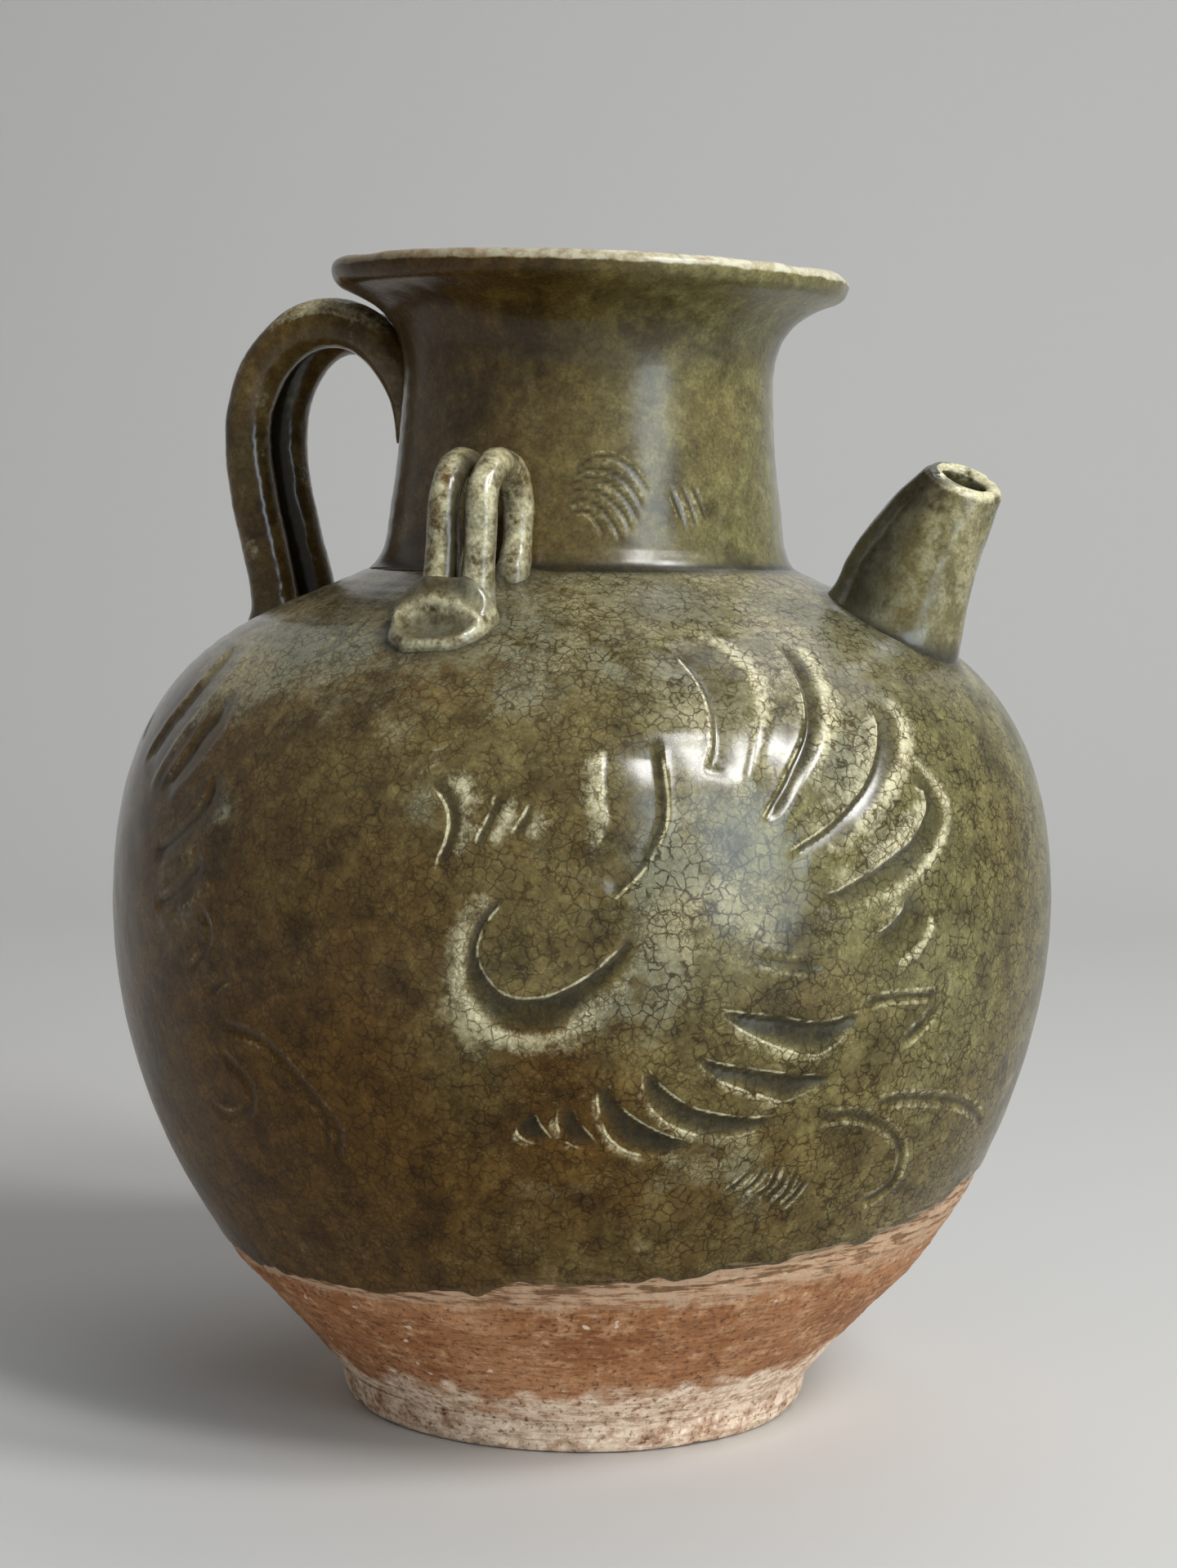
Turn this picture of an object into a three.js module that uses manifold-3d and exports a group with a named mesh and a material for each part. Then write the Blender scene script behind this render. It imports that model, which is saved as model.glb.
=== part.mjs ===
// A glazed stoneware ewer: thrown belly on a foot ring, flared neck, short tapering spout,
// a handle of two strands side by side, and two lugs of paired loops on a thumb-pressed pad.
// Millimetres, +Z up. The origin is on the axis in the plane of the foot.
// The spout points to +X, the handle to -X, and the lugs to -Y and +Y.
import * as THREE from 'three';
import { mergeVertices } from 'three/addons/utils/BufferGeometryUtils.js';
import Module from 'manifold-3d';

const wasm = await Module();
wasm.setup();

// Luted joints: the clearance between two pieces that were made apart
const lutingGap = 0.3;

// The pull that makes a cubic curve run like a quarter of a circle
const kappa = 0.5523;

// Foot ring
const footRadius = 41.2;
const footSoleRadius = 40.4;
const footHeight = 5.2;
const footRingWidth = 8.6;
const footEdgeRound = 0.8;

// Belly: a trimmed cone above the foot, then one full curve up and one over the shoulder
const trimRadius = 59.6;
const trimHeight = 26;
const trimHollow = 0.8;
const bellyRadius = 81.3;
const bellyHeight = 87.5;
const collarRadius = 36.2;
const collarHeight = 145.1;
const lowerPullLength = 36;
const upperPullLength = 44.6;
const shoulderPullReach = 19.7;
const shoulderPullDrop = 9.5;
const bellyWall = 5;
const floorThickness = 6.5;

// Neck and flared mouth
const collarFillet = 1.3;
const neckBaseRadius = 34.7;
const neckFootFlare = 0.3;
const neckHollow = 0.4;
const neckWaistRadius = 31.85;
const neckWaistHeight = 176.4;
const neckWall = 4.2;
const flareRadius = 42.9;
const flareHeight = 191.4;
const flareRiseShare = 0.59;
const flareRunShare = 0.29;
const flarePullDrop = 2.6;
const lipRadius = 44.75;
const lipBulgeShare = 0.36;
const lipRoundWidth = 1.3;
const lipRoundDrop = 0.2;
const rimHeight = 196.1;
const neckOffset = -0.55;
const neckLeanOffset = 0.3;
const rimTilt = 0.0205;

// Spout
const spoutReach = 55.5;
const spoutLength = 27.2;
const spoutLeanAngle = 25.3;
const spoutBowDepth = 1.4;
const spoutBaseRadius = 11.8;
const spoutTipRadius = 6.55;
const spoutBulgeDepth = 0.6;
const spoutMouthRise = 1.5;
const spoutBoreRadius = 3.7;
const spoutWallAtBase = 4.2;

// Handle strands
const strandRadius = 4.2;
const handleCrownReach = 48;
const handleCrownHeight = 187.1;
const handleReach = 64.4;
const handleReachHeight = 167;
const handleFootReach = 57.9;
const handleTailLength = 21;
const handleTailRadius = 2.4;
const tailTaperShare = 0.2;
const throatDropShare = 0.75;
const throatLeanShare = 0.12;
const throatProud = 1;
const legPullShare = 0.34;
const farStrandInset = 2.9;
const farStrandDrop = 1.1;
const strandFootFlare = 0.6;
const footFlareStartShare = 0.86;

// Lugs
const loopRadius = 2.65;
const loopSpacing = 6.4;
const loopReach = 52.7;
const loopCrownHeight = 161.8;
const loopArchRise = 8.2;
const loopNeckClearance = 1.2;
const loopHeelReach = 40.2;
const loopToeSplayShare = 0.4;
const loopRearPullShare = 0.55;
const loopHeelPullShare = 0.45;
const loopRoot = 2.5;
const padReach = 56;
const padOffset = -1.9;
const padHalfWidth = 9;
const padHalfLength = 8.4;
const padThickness = 3.2;
const padWedgeHeight = 3.2;
const padWedgeStart = -2.5;
const padWedgeEnd = 4;
const thumbPressDepth = 1.1;
const thumbWidthShare = 0.72;
const thumbLengthShare = 0.5;
const thumbSlideShare = 0.35;

// Facets
const bodyFacets = 52;
const neckFacets = 40;
const spoutFacets = 24;
const boreFacets = 18;
const spoutSteps = 14;
const strandFacets = 14;
const strandSteps = 32;
const loopFacets = 12;
const loopSteps = 24;
const padFacets = 18;
const trimPoints = 4;
const bellyPoints = 12;
const insidePoints = 7;
const flarePoints = 8;
const lipPoints = 10;

const glaze = new THREE.MeshStandardMaterial({ color: 0x6b6238, roughness: 0.25, metalness: 0 });
const paleGlaze = new THREE.MeshStandardMaterial({ color: 0x93875a, roughness: 0.28, metalness: 0 });
const darkGlaze = new THREE.MeshStandardMaterial({ color: 0x4c4226, roughness: 0.25, metalness: 0 });
const bareClay = new THREE.MeshStandardMaterial({ color: 0xb28a70, roughness: 0.85, metalness: 0 });

// Closed meshes and solids

// Gives a geometry its shared vertices back, without triangles that have no area.
function welded(geometry) {
  geometry.deleteAttribute('normal');
  geometry.deleteAttribute('uv');
  const merged = mergeVertices(geometry, 1e-4);
  const corners = merged.index.array;
  const kept = [];
  for (let i = 0; i < corners.length; i += 3) {
    const [a, b, c] = [corners[i], corners[i + 1], corners[i + 2]];
    if (a !== b && b !== c && c !== a) kept.push(a, b, c);
  }
  merged.setIndex(kept);
  return merged;
}

function signedVolume(geometry) {
  const place = geometry.attributes.position;
  const corners = geometry.index.array;
  const [a, b, c] = [new THREE.Vector3(), new THREE.Vector3(), new THREE.Vector3()];
  let volume = 0;
  for (let i = 0; i < corners.length; i += 3) {
    a.fromBufferAttribute(place, corners[i]);
    b.fromBufferAttribute(place, corners[i + 1]);
    c.fromBufferAttribute(place, corners[i + 2]);
    volume += a.dot(b.cross(c)) / 6;
  }
  return volume;
}

// Turns a closed geometry into a solid whose faces point out.
function solidFrom(geometry) {
  const shape = welded(geometry);
  const triVerts = Uint32Array.from(shape.index.array);
  if (signedVolume(shape) < 0) triVerts.reverse();
  const vertProperties = Float32Array.from(shape.attributes.position.array);
  return new wasm.Manifold(new wasm.Mesh({ numProp: 3, vertProperties, triVerts }));
}

function geometryFrom(solid) {
  const mesh = solid.getMesh();
  const geometry = new THREE.BufferGeometry();
  geometry.setAttribute('position', new THREE.BufferAttribute(mesh.vertProperties, 3));
  geometry.setIndex(new THREE.BufferAttribute(mesh.triVerts, 1));
  geometry.computeVertexNormals();
  return geometry;
}

// A cut can leave crumbs behind: the piece is the largest part.
function largestPart(solid) {
  return solid.decompose().reduce((best, part) => (part.volume() > best.volume() ? part : best));
}

// Outlines in the plane of radius and height

const at = (radius, height) => new THREE.Vector2(radius, height);

function bezier(start, pullStart, pullEnd, end, count) {
  return new THREE.CubicBezierCurve(start, pullStart, pullEnd, end).getPoints(count);
}

// Moves an outline sideways along its own normals: positive distances go to its right.
function shifted(outline, distance) {
  return outline.map((point, i) => {
    const before = outline[Math.max(i - 1, 0)];
    const after = outline[Math.min(i + 1, outline.length - 1)];
    const along = after.clone().sub(before).normalize();
    return at(point.x + along.y * distance, point.y - along.x * distance);
  });
}

function revolved(outline, facets) {
  const closed = outline.map((point) => at(Math.max(point.x, 0), point.y));
  return new THREE.LatheGeometry(closed, facets).rotateX(Math.PI / 2);
}

// Belly

const seatHeight = footHeight + lutingGap;
const collarTop = collarHeight + collarFillet;
const neckHoleRadius = neckBaseRadius - neckWall;

const shoulderCurve = new THREE.CubicBezierCurve(
  at(bellyRadius, bellyHeight),
  at(bellyRadius, bellyHeight + upperPullLength),
  at(collarRadius + shoulderPullReach, collarHeight - shoulderPullDrop),
  at(collarRadius, collarHeight),
);

// The outer face from the foot to the collar, bottom to top, with so many steps on each curve.
function bellyOutline(steps) {
  const middleRadius = (footRadius + trimRadius) / 2 - trimHollow;
  const middleHeight = (seatHeight + trimHeight) / 2;
  const trimmed = new THREE.QuadraticBezierCurve(
    at(footRadius, seatHeight),
    at(middleRadius, middleHeight),
    at(trimRadius, trimHeight),
  ).getPoints(trimPoints);
  const lower = bezier(
    at(trimRadius, trimHeight),
    at(trimRadius, trimHeight),
    at(bellyRadius, bellyHeight - lowerPullLength),
    at(bellyRadius, bellyHeight),
    steps,
  );
  return [...trimmed, ...lower.slice(1), ...shoulderCurve.getPoints(steps).slice(1)];
}

// The point on the shoulder at a radius, with the slope's direction towards the foot.
function shoulderAt(radius) {
  let [low, high] = [0, 1];
  for (let i = 0; i < 40; i += 1) {
    const middle = (low + high) / 2;
    if (shoulderCurve.getPoint(middle).x > radius) low = middle;
    else high = middle;
  }
  const point = shoulderCurve.getPoint(low);
  const downhill = shoulderCurve.getTangent(low).negate();
  return { height: point.y, downhill };
}

// The outside of the belly as a plain solid, grown all over by a clearance.
function bellyEnvelope(clearance) {
  const face = shifted(bellyOutline(bellyPoints), clearance);
  const top = face[face.length - 1];
  return solidFrom(revolved([at(0, seatHeight), ...face, at(0, top.y)], bodyFacets));
}

function bellySolid() {
  const outside = bellyOutline(bellyPoints);
  const floorTop = seatHeight + floorThickness;
  const inside = shifted(bellyOutline(insidePoints), -bellyWall)
    .filter((point) => point.y > floorTop + bellyWall / 2 && point.x > neckHoleRadius);
  const floorRadius = inside[0].x - bellyWall;
  const outline = [
    at(0, seatHeight),
    ...outside,
    at(collarRadius - collarFillet, collarTop),
    at(neckHoleRadius, collarTop),
    ...inside.reverse(),
    at(floorRadius, floorTop),
    at(0, floorTop),
  ];
  return solidFrom(revolved(outline, bodyFacets));
}

function footRingSolid() {
  const innerRadius = footRadius - footRingWidth;
  const outline = [
    at(innerRadius, footHeight),
    at(innerRadius + footEdgeRound, 0),
    at(footSoleRadius - footEdgeRound, 0),
    at(footSoleRadius, footEdgeRound),
    at(footRadius, footHeight),
    at(innerRadius, footHeight),
  ];
  return solidFrom(revolved(outline, bodyFacets));
}

// Neck

const neckSeat = collarTop + lutingGap;

const flareRise = flareHeight - neckWaistHeight;
const flareRun = flareRadius - neckWaistRadius;
const flareCurve = new THREE.CubicBezierCurve(
  at(neckWaistRadius, neckWaistHeight),
  at(neckWaistRadius, neckWaistHeight + flareRiseShare * flareRise),
  at(neckWaistRadius + flareRunShare * flareRun, flareHeight - flarePullDrop),
  at(flareRadius, flareHeight),
);

// The outer face from the collar to the underside of the lip.
function neckOutline() {
  return [
    at(collarRadius - collarFillet, neckSeat),
    at(neckBaseRadius + neckFootFlare, neckSeat + collarFillet / 2),
    at(neckBaseRadius - neckFootFlare, neckSeat + 2 * collarFillet),
    at((neckBaseRadius + neckWaistRadius) / 2 - neckHollow, (neckSeat + neckWaistHeight) / 2),
    ...flareCurve.getPoints(flarePoints),
  ];
}

function neckRadiusAt(height) {
  const face = neckOutline();
  const i = Math.max(1, face.findIndex((point) => point.y > height));
  const share = (height - face[i - 1].y) / (face[i].y - face[i - 1].y);
  return THREE.MathUtils.lerp(face[i - 1].x, face[i].x, share);
}

// The neck was set a little off centre, leans towards the spout, and its rim dips with it.
function settled(geometry) {
  const place = geometry.attributes.position;
  const rise = rimHeight - neckSeat;
  for (let i = 0; i < place.count; i += 1) {
    const [x, z] = [place.getX(i), place.getZ(i)];
    const share = THREE.MathUtils.clamp((z - neckSeat) / rise, 0, 1);
    place.setX(i, x + neckOffset + neckLeanOffset * share);
    place.setZ(i, z - rimTilt * x * share * share);
  }
  return geometry;
}

function neckEnvelope(clearance) {
  const face = shifted(neckOutline(), clearance);
  const lipEdge = at(lipRadius + clearance, (flareHeight + rimHeight) / 2);
  const outline = [
    at(0, neckSeat), ...face, lipEdge,
    at(lipRadius + clearance, rimHeight), at(0, rimHeight),
  ];
  return solidFrom(settled(revolved(outline, neckFacets)));
}

function neckSolid() {
  const outside = neckOutline();
  const inside = shifted(outside.slice(3), -neckWall).reverse();
  const roundEnd = at(lipRadius - lipRoundWidth, rimHeight - lipRoundDrop);
  const lip = new THREE.SplineCurve([
    outside[outside.length - 1],
    at(lipRadius, rimHeight - lipBulgeShare * (rimHeight - flareHeight)),
    roundEnd,
    at((roundEnd.x + inside[0].x) / 2, rimHeight),
    inside[0],
  ]).getPoints(lipPoints).slice(1, -1);
  const outline = [
    at(neckHoleRadius, neckSeat),
    ...outside,
    ...lip,
    ...inside,
    at(neckHoleRadius, neckSeat),
  ];
  return solidFrom(settled(revolved(outline, neckFacets)));
}

// Tubes along a path, with a radius that changes on the way

function swept(path, radiusAt, facets, steps) {
  const frames = path.computeFrenetFrames(steps, false);
  const places = [];
  const corners = [];
  for (let i = 0; i <= steps; i += 1) {
    const centre = path.getPointAt(i / steps);
    const radius = radiusAt(i / steps);
    for (let k = 0; k < facets; k += 1) {
      const turn = (2 * Math.PI * k) / facets;
      const spot = centre.clone()
        .addScaledVector(frames.normals[i], radius * Math.cos(turn))
        .addScaledVector(frames.binormals[i], radius * Math.sin(turn));
      places.push(spot.x, spot.y, spot.z);
      if (i < steps) {
        const [a, b] = [i * facets + k, i * facets + ((k + 1) % facets)];
        corners.push(a, b, a + facets, b, b + facets, a + facets);
      }
    }
  }
  for (let k = 1; k < facets - 1; k += 1) {
    const last = steps * facets;
    corners.push(0, k + 1, k, last, last + k, last + k + 1);
  }
  const geometry = new THREE.BufferGeometry();
  geometry.setAttribute('position', new THREE.Float32BufferAttribute(places, 3));
  geometry.setIndex(corners);
  return geometry;
}

// Spout

// The middle line of the spout in its own plane: it bows a little towards the neck.
function spoutPath(before, after) {
  const lean = THREE.MathUtils.degToRad(spoutLeanAngle);
  const base = new THREE.Vector3(spoutReach, 0, shoulderAt(spoutReach).height);
  const along = new THREE.Vector3(Math.sin(lean), 0, Math.cos(lean));
  const towardsNeck = new THREE.Vector3(-Math.cos(lean), 0, Math.sin(lean));
  const point = (distance, bow) => base.clone()
    .addScaledVector(along, distance)
    .addScaledVector(towardsNeck, bow);
  const shown = [point(0, 0), point(spoutLength / 2, spoutBowDepth), point(spoutLength, 0)];
  const beyond = after > 0 ? [point(spoutLength + after, 0)] : [];
  return new THREE.CatmullRomCurve3([point(-before, -spoutBowDepth), ...shown, ...beyond]);
}

function spoutRadiusAt(share) {
  const bulge = spoutBulgeDepth * Math.sin(Math.PI * share);
  return THREE.MathUtils.lerp(spoutBaseRadius, spoutTipRadius, share) + bulge;
}

function spoutBoreAt(share) {
  return THREE.MathUtils.lerp(spoutBaseRadius - spoutWallAtBase, spoutBoreRadius, share);
}

const spoutRootDepth = spoutBaseRadius;

// Distances along the spout, from its root inside the shoulder, as shares of the part that shows.
function shareAlongSpout(u, before, after) {
  const whole = before + spoutLength + after;
  return THREE.MathUtils.clamp((u * whole - before) / spoutLength, 0, 1);
}

function spoutBoreSolid() {
  const [before, after] = [2 * bellyWall + spoutRootDepth, 2 * spoutBoreRadius];
  const radiusAt = (u) => spoutBoreAt(shareAlongSpout(u, before, after));
  return solidFrom(swept(spoutPath(before, after), radiusAt, boreFacets, spoutSteps));
}

// The mouth was cut aslant: its far side stands higher than the near one.
function slanted(geometry) {
  const place = geometry.attributes.position;
  const lean = THREE.MathUtils.degToRad(spoutLeanAngle);
  const base = shoulderAt(spoutReach).height;
  for (let i = 0; i < place.count; i += 1) {
    const [x, y, z] = [place.getX(i), place.getY(i), place.getZ(i)];
    const along = (x - spoutReach) * Math.sin(lean) + (z - base) * Math.cos(lean);
    const share = THREE.MathUtils.clamp(along / spoutLength, 0, 1);
    const rise = spoutMouthRise * (y / spoutTipRadius) * share ** 6;
    place.setX(i, x + rise * Math.sin(lean));
    place.setZ(i, z + rise * Math.cos(lean));
  }
  return geometry;
}

function spoutSolid(belly) {
  const radiusAt = (u) => spoutRadiusAt(shareAlongSpout(u, spoutRootDepth, 0));
  const outside = swept(spoutPath(spoutRootDepth, 0), radiusAt, spoutFacets, spoutSteps);
  return largestPart(solidFrom(slanted(outside)).subtract(spoutBoreSolid()).subtract(belly));
}

// Handle: a tail pressed on the neck, an arch, and an S-curve down to the shoulder

function handlePath(side, inset, drop) {
  const y = side * (strandRadius + lutingGap / 2);
  const spot = (reach, height) => new THREE.Vector3(-reach, y, height);
  const crown = spot(handleCrownReach, handleCrownHeight - drop);
  const reach = handleReach - inset;
  const throatHeight = handleCrownHeight - throatDropShare * (handleCrownHeight - handleReachHeight);
  const throatReach = neckRadiusAt(throatHeight) + throatProud;
  const tailHeight = handleCrownHeight - handleTailLength - drop;
  const tail = spot(neckRadiusAt(tailHeight), tailHeight);
  const throat = spot(throatReach, throatHeight);
  const widest = spot(reach, handleReachHeight);
  const footReach = handleFootReach - inset;
  const foot = spot(footReach, shoulderAt(footReach).height - strandRadius);
  const inRun = (-crown.x - throatReach) * kappa;
  const inRise = (crown.z - throatHeight) * kappa;
  const outRun = (reach + crown.x) * kappa;
  const outRise = (crown.z - handleReachHeight) * kappa;
  const legPull = legPullShare * (handleReachHeight - foot.z);
  const path = new THREE.CurvePath();
  path.add(new THREE.LineCurve3(tail, throat));
  path.add(new THREE.CubicBezierCurve3(
    throat,
    throat.clone().add(new THREE.Vector3(-throatLeanShare * inRise, 0, inRise)),
    crown.clone().add(new THREE.Vector3(inRun, 0, 0)),
    crown,
  ));
  path.add(new THREE.CubicBezierCurve3(
    crown,
    crown.clone().add(new THREE.Vector3(-outRun, 0, 0)),
    widest.clone().add(new THREE.Vector3(0, 0, outRise)),
    widest,
  ));
  path.add(new THREE.CubicBezierCurve3(
    widest,
    widest.clone().add(new THREE.Vector3(0, 0, -legPull)),
    foot.clone().add(new THREE.Vector3(0, 0, legPull)),
    foot,
  ));
  return path;
}

function handleStrandRadiusAt(u) {
  const tail = THREE.MathUtils.smoothstep(u, 0, tailTaperShare);
  const foot = THREE.MathUtils.smoothstep(u, footFlareStartShare, 1);
  return THREE.MathUtils.lerp(handleTailRadius, strandRadius, tail) + strandFootFlare * foot;
}

// The strands lie against each other: each keeps to its own side of the plane between them.
function handleStrandSolid(side, inset, drop, belly, neck) {
  const path = handlePath(side, inset, drop);
  const strand = solidFrom(swept(path, handleStrandRadiusAt, strandFacets, strandSteps));
  const far = new THREE.BoxGeometry(4 * handleReach, 4 * handleReach, 4 * rimHeight);
  far.translate(0, -side * (2 * handleReach - lutingGap / 2), 0);
  return largestPart(strand.subtract(belly).subtract(neck).subtract(solidFrom(far)));
}

// Lugs: paired loops that stand on the shoulder in upright planes, and their pad

function loopPath(x) {
  const spot = (reach, height) => new THREE.Vector3(x, -reach, height);
  const springHeight = loopCrownHeight - loopArchRise;
  const rearReach = neckRadiusAt(springHeight) + loopNeckClearance + loopRadius;
  const middle = (loopReach + rearReach) / 2;
  const run = ((loopReach - rearReach) / 2) * kappa;
  const rise = loopArchRise * kappa;
  const toeReach = loopReach + loopToeSplayShare * loopRadius;
  const toe = spot(toeReach, shoulderAt(loopReach).height - loopRoot);
  const heel = spot(loopHeelReach, shoulderAt(loopHeelReach).height - loopRoot);
  const front = spot(loopReach, springHeight);
  const crown = spot(middle, loopCrownHeight);
  const rear = spot(rearReach, springHeight);
  const heelRise = springHeight - heel.z;
  const path = new THREE.CurvePath();
  path.add(new THREE.LineCurve3(toe, front));
  path.add(new THREE.CubicBezierCurve3(
    front,
    spot(loopReach, springHeight + rise),
    spot(middle + run, loopCrownHeight),
    crown,
  ));
  path.add(new THREE.CubicBezierCurve3(
    crown,
    spot(middle - run, loopCrownHeight),
    spot(rearReach, springHeight + rise),
    rear,
  ));
  path.add(new THREE.CubicBezierCurve3(
    rear,
    spot(rearReach, springHeight - loopRearPullShare * heelRise),
    spot(loopHeelReach, heel.z + loopHeelPullShare * heelRise),
    heel,
  ));
  return path;
}

function loopTube(x, radius) {
  return solidFrom(swept(loopPath(x), () => radius, loopFacets, loopSteps));
}

function loopSolid(x, belly) {
  return largestPart(loopTube(x, loopRadius).subtract(belly));
}

function ellipsoid(halfWidth, halfLength, halfHeight) {
  const ball = new THREE.SphereGeometry(1, padFacets, padFacets / 2);
  return ball.scale(halfWidth, halfLength, halfHeight);
}

// Thickens the pad towards the loops: the clay climbs their front like a wedge.
function wedged(geometry) {
  const place = geometry.attributes.position;
  for (let i = 0; i < place.count; i += 1) {
    const uphill = THREE.MathUtils.smoothstep(place.getY(i), padWedgeStart, padWedgeEnd);
    const lift = (padWedgeHeight / padThickness) * Math.max(place.getZ(i), 0);
    place.setZ(i, place.getZ(i) + lift * uphill);
  }
  return geometry;
}

// The pad lies on the slope, pressed thin in the middle by a thumb, round the toes of the loops.
function padSolid(belly) {
  const { height, downhill } = shoulderAt(padReach);
  const across = new THREE.Vector3(1, 0, 0);
  const uphill = new THREE.Vector3(0, downhill.x, -downhill.y);
  const away = new THREE.Vector3().crossVectors(across, uphill);
  const placed = new THREE.Matrix4().makeBasis(across, uphill, away);
  placed.setPosition(padOffset, -padReach, height);
  const lump = wedged(ellipsoid(padHalfWidth, padHalfLength, padThickness));
  const pad = solidFrom(lump.applyMatrix4(placed));
  const press = placed.clone();
  const lift = away.clone().multiplyScalar(2 * padThickness - thumbPressDepth);
  const slide = uphill.clone().multiplyScalar(-thumbSlideShare * padHalfLength);
  press.setPosition(
    padOffset + lift.x + slide.x,
    -padReach + lift.y + slide.y,
    height + lift.z + slide.z,
  );
  const thumbTip = ellipsoid(
    thumbWidthShare * padHalfWidth,
    thumbLengthShare * padHalfLength,
    padThickness,
  );
  const thumb = solidFrom(thumbTip.applyMatrix4(press));
  const toes = [-1, 1].map((side) => loopTube((side * loopSpacing) / 2, loopRadius + lutingGap));
  return largestPart(pad.subtract(thumb).subtract(belly).subtract(toes[0]).subtract(toes[1]));
}

// Assembly

const ewer = new THREE.Group();

function addPiece(name, solid, material, parent = ewer) {
  const mesh = new THREE.Mesh(geometryFrom(solid), material.clone());
  mesh.name = name;
  parent.add(mesh);
}

function addLug(name, turn, belly) {
  const lug = new THREE.Group();
  lug.rotation.z = turn;
  addPiece(`${name}_left_strand`, loopSolid(-loopSpacing / 2, belly), paleGlaze, lug);
  addPiece(`${name}_right_strand`, loopSolid(loopSpacing / 2, belly), paleGlaze, lug);
  addPiece(`${name}_pad`, padSolid(belly), paleGlaze, lug);
  ewer.add(lug);
}

const bellyGrown = bellyEnvelope(lutingGap);
const neckGrown = neckEnvelope(lutingGap);

addPiece('foot_ring', footRingSolid(), bareClay);
addPiece('body', bellySolid().subtract(spoutBoreSolid()), glaze);
addPiece('neck', neckSolid(), glaze);
addPiece('spout', spoutSolid(bellyGrown), paleGlaze);
addPiece('handle_near_strand', handleStrandSolid(-1, 0, 0, bellyGrown, neckGrown), darkGlaze);
addPiece(
  'handle_far_strand',
  handleStrandSolid(1, farStrandInset, farStrandDrop, bellyGrown, neckGrown),
  darkGlaze,
);
addLug('front_lug', 0, bellyGrown);
addLug('rear_lug', Math.PI, bellyGrown);

export default ewer;
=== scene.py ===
"""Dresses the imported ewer: carved and crackled olive glaze over bare pinkish clay.

Every size is in millimetres in the classes below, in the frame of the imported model,
and becomes metres where a mesh is written.
"""
import logging
import math
from dataclasses import dataclass, field
from enum import Enum

import bpy
import numpy as np
from mathutils import Matrix, Vector


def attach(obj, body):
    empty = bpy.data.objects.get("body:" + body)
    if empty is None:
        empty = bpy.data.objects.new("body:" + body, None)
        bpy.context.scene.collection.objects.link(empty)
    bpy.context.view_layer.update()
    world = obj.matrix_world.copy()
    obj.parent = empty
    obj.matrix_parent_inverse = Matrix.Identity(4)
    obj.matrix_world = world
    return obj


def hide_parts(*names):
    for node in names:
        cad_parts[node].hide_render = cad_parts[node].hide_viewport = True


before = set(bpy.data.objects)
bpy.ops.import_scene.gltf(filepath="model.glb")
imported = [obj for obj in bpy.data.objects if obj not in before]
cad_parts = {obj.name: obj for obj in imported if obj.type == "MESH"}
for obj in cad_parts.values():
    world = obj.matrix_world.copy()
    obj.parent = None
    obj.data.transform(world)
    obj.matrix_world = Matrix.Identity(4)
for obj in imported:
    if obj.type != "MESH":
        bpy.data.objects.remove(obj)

MM = 0.001
KAPPA = 0.5523  # the pull by which a cubic follows a quarter of a circle
BODY = "root"
RIGHT = (0.93, 0.37)  # the photo's right, in the plane of the table
FLOAT, VECTOR, COLOUR = "NodeSocketFloat", "NodeSocketVector", "NodeSocketColor"
log = logging.getLogger("ewer")

Points = np.ndarray
Path = tuple[tuple[float, float], ...]
Colour = tuple[float, float, float]
Tree, Node, Socket = bpy.types.NodeTree, bpy.types.Node, bpy.types.NodeSocket
Material = bpy.types.Material


class Slot(Enum):
    """The record's material slots."""

    OLIVE = "olive_glaze"
    PALE = "pale_glaze"
    DARK = "dark_glaze"
    CLAY = "bare_clay"


class Side(Enum):
    """The two sides of a pair, as a factor on the sideways axis."""

    NEAR = -1
    FAR = 1


# Curves and small numeric tools


def bezier(a: Path, count: int) -> Points:
    """Samples one cubic curve.

    Args:
        a: The start, the two pulls and the end, as points in a plane.
        count: The number of steps.

    Returns:
        The points, with shape (count + 1, 2). Each is the sum of the four corners
        weighted by (1-t)^3, 3t(1-t)^2, 3t^2(1-t) and t^3.
    """
    t = np.linspace(0, 1, count + 1)[:, None]
    p = np.array(a, float)
    return (
        (1 - t) ** 3 * p[0]
        + 3 * t * (1 - t) ** 2 * p[1]
        + 3 * t**2 * (1 - t) * p[2]
        + t**3 * p[3]
    )


def smoothstep(x: Points, low: float, high: float) -> Points:
    """Rises smoothly from 0 at low to 1 at high, as 3s^2 - 2s^3."""
    s = np.clip((x - low) / (high - low), 0, 1)
    return s * s * (3 - 2 * s)


def bell(x: Points, width: float | Points) -> Points:
    """A bell that is 1 at zero and falls as exp(-(x/width)^2)."""
    return np.exp(-((x / width) ** 2))


def wrapped(azimuth: Points) -> Points:
    """The same angles in degrees, from -180 to 180."""
    return (azimuth + 180) % 360 - 180


def lengths_along(points: Points) -> Points:
    """The distance along a polyline at each of its points."""
    steps = np.linalg.norm(np.diff(points, axis=0), axis=1)
    return np.concatenate([[0], np.cumsum(steps)])


def resampled(points: Points, count: int) -> Points:
    """The same polyline with evenly spaced points.

    Args:
        points: The polyline, with shape (n, 2) or (n, 3).
        count: The number of points wanted.

    Returns:
        The points at equal distances along the line.
    """
    along = lengths_along(points)
    wanted = np.linspace(0, along[-1], count)
    return np.stack([np.interp(wanted, along, column) for column in points.T], -1)


def joined(*lines: Points) -> Points:
    """Lines that follow each other as one, each starting where the last one ended."""
    return np.vstack([lines[0], *[line[1:] for line in lines[1:]]])


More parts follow.
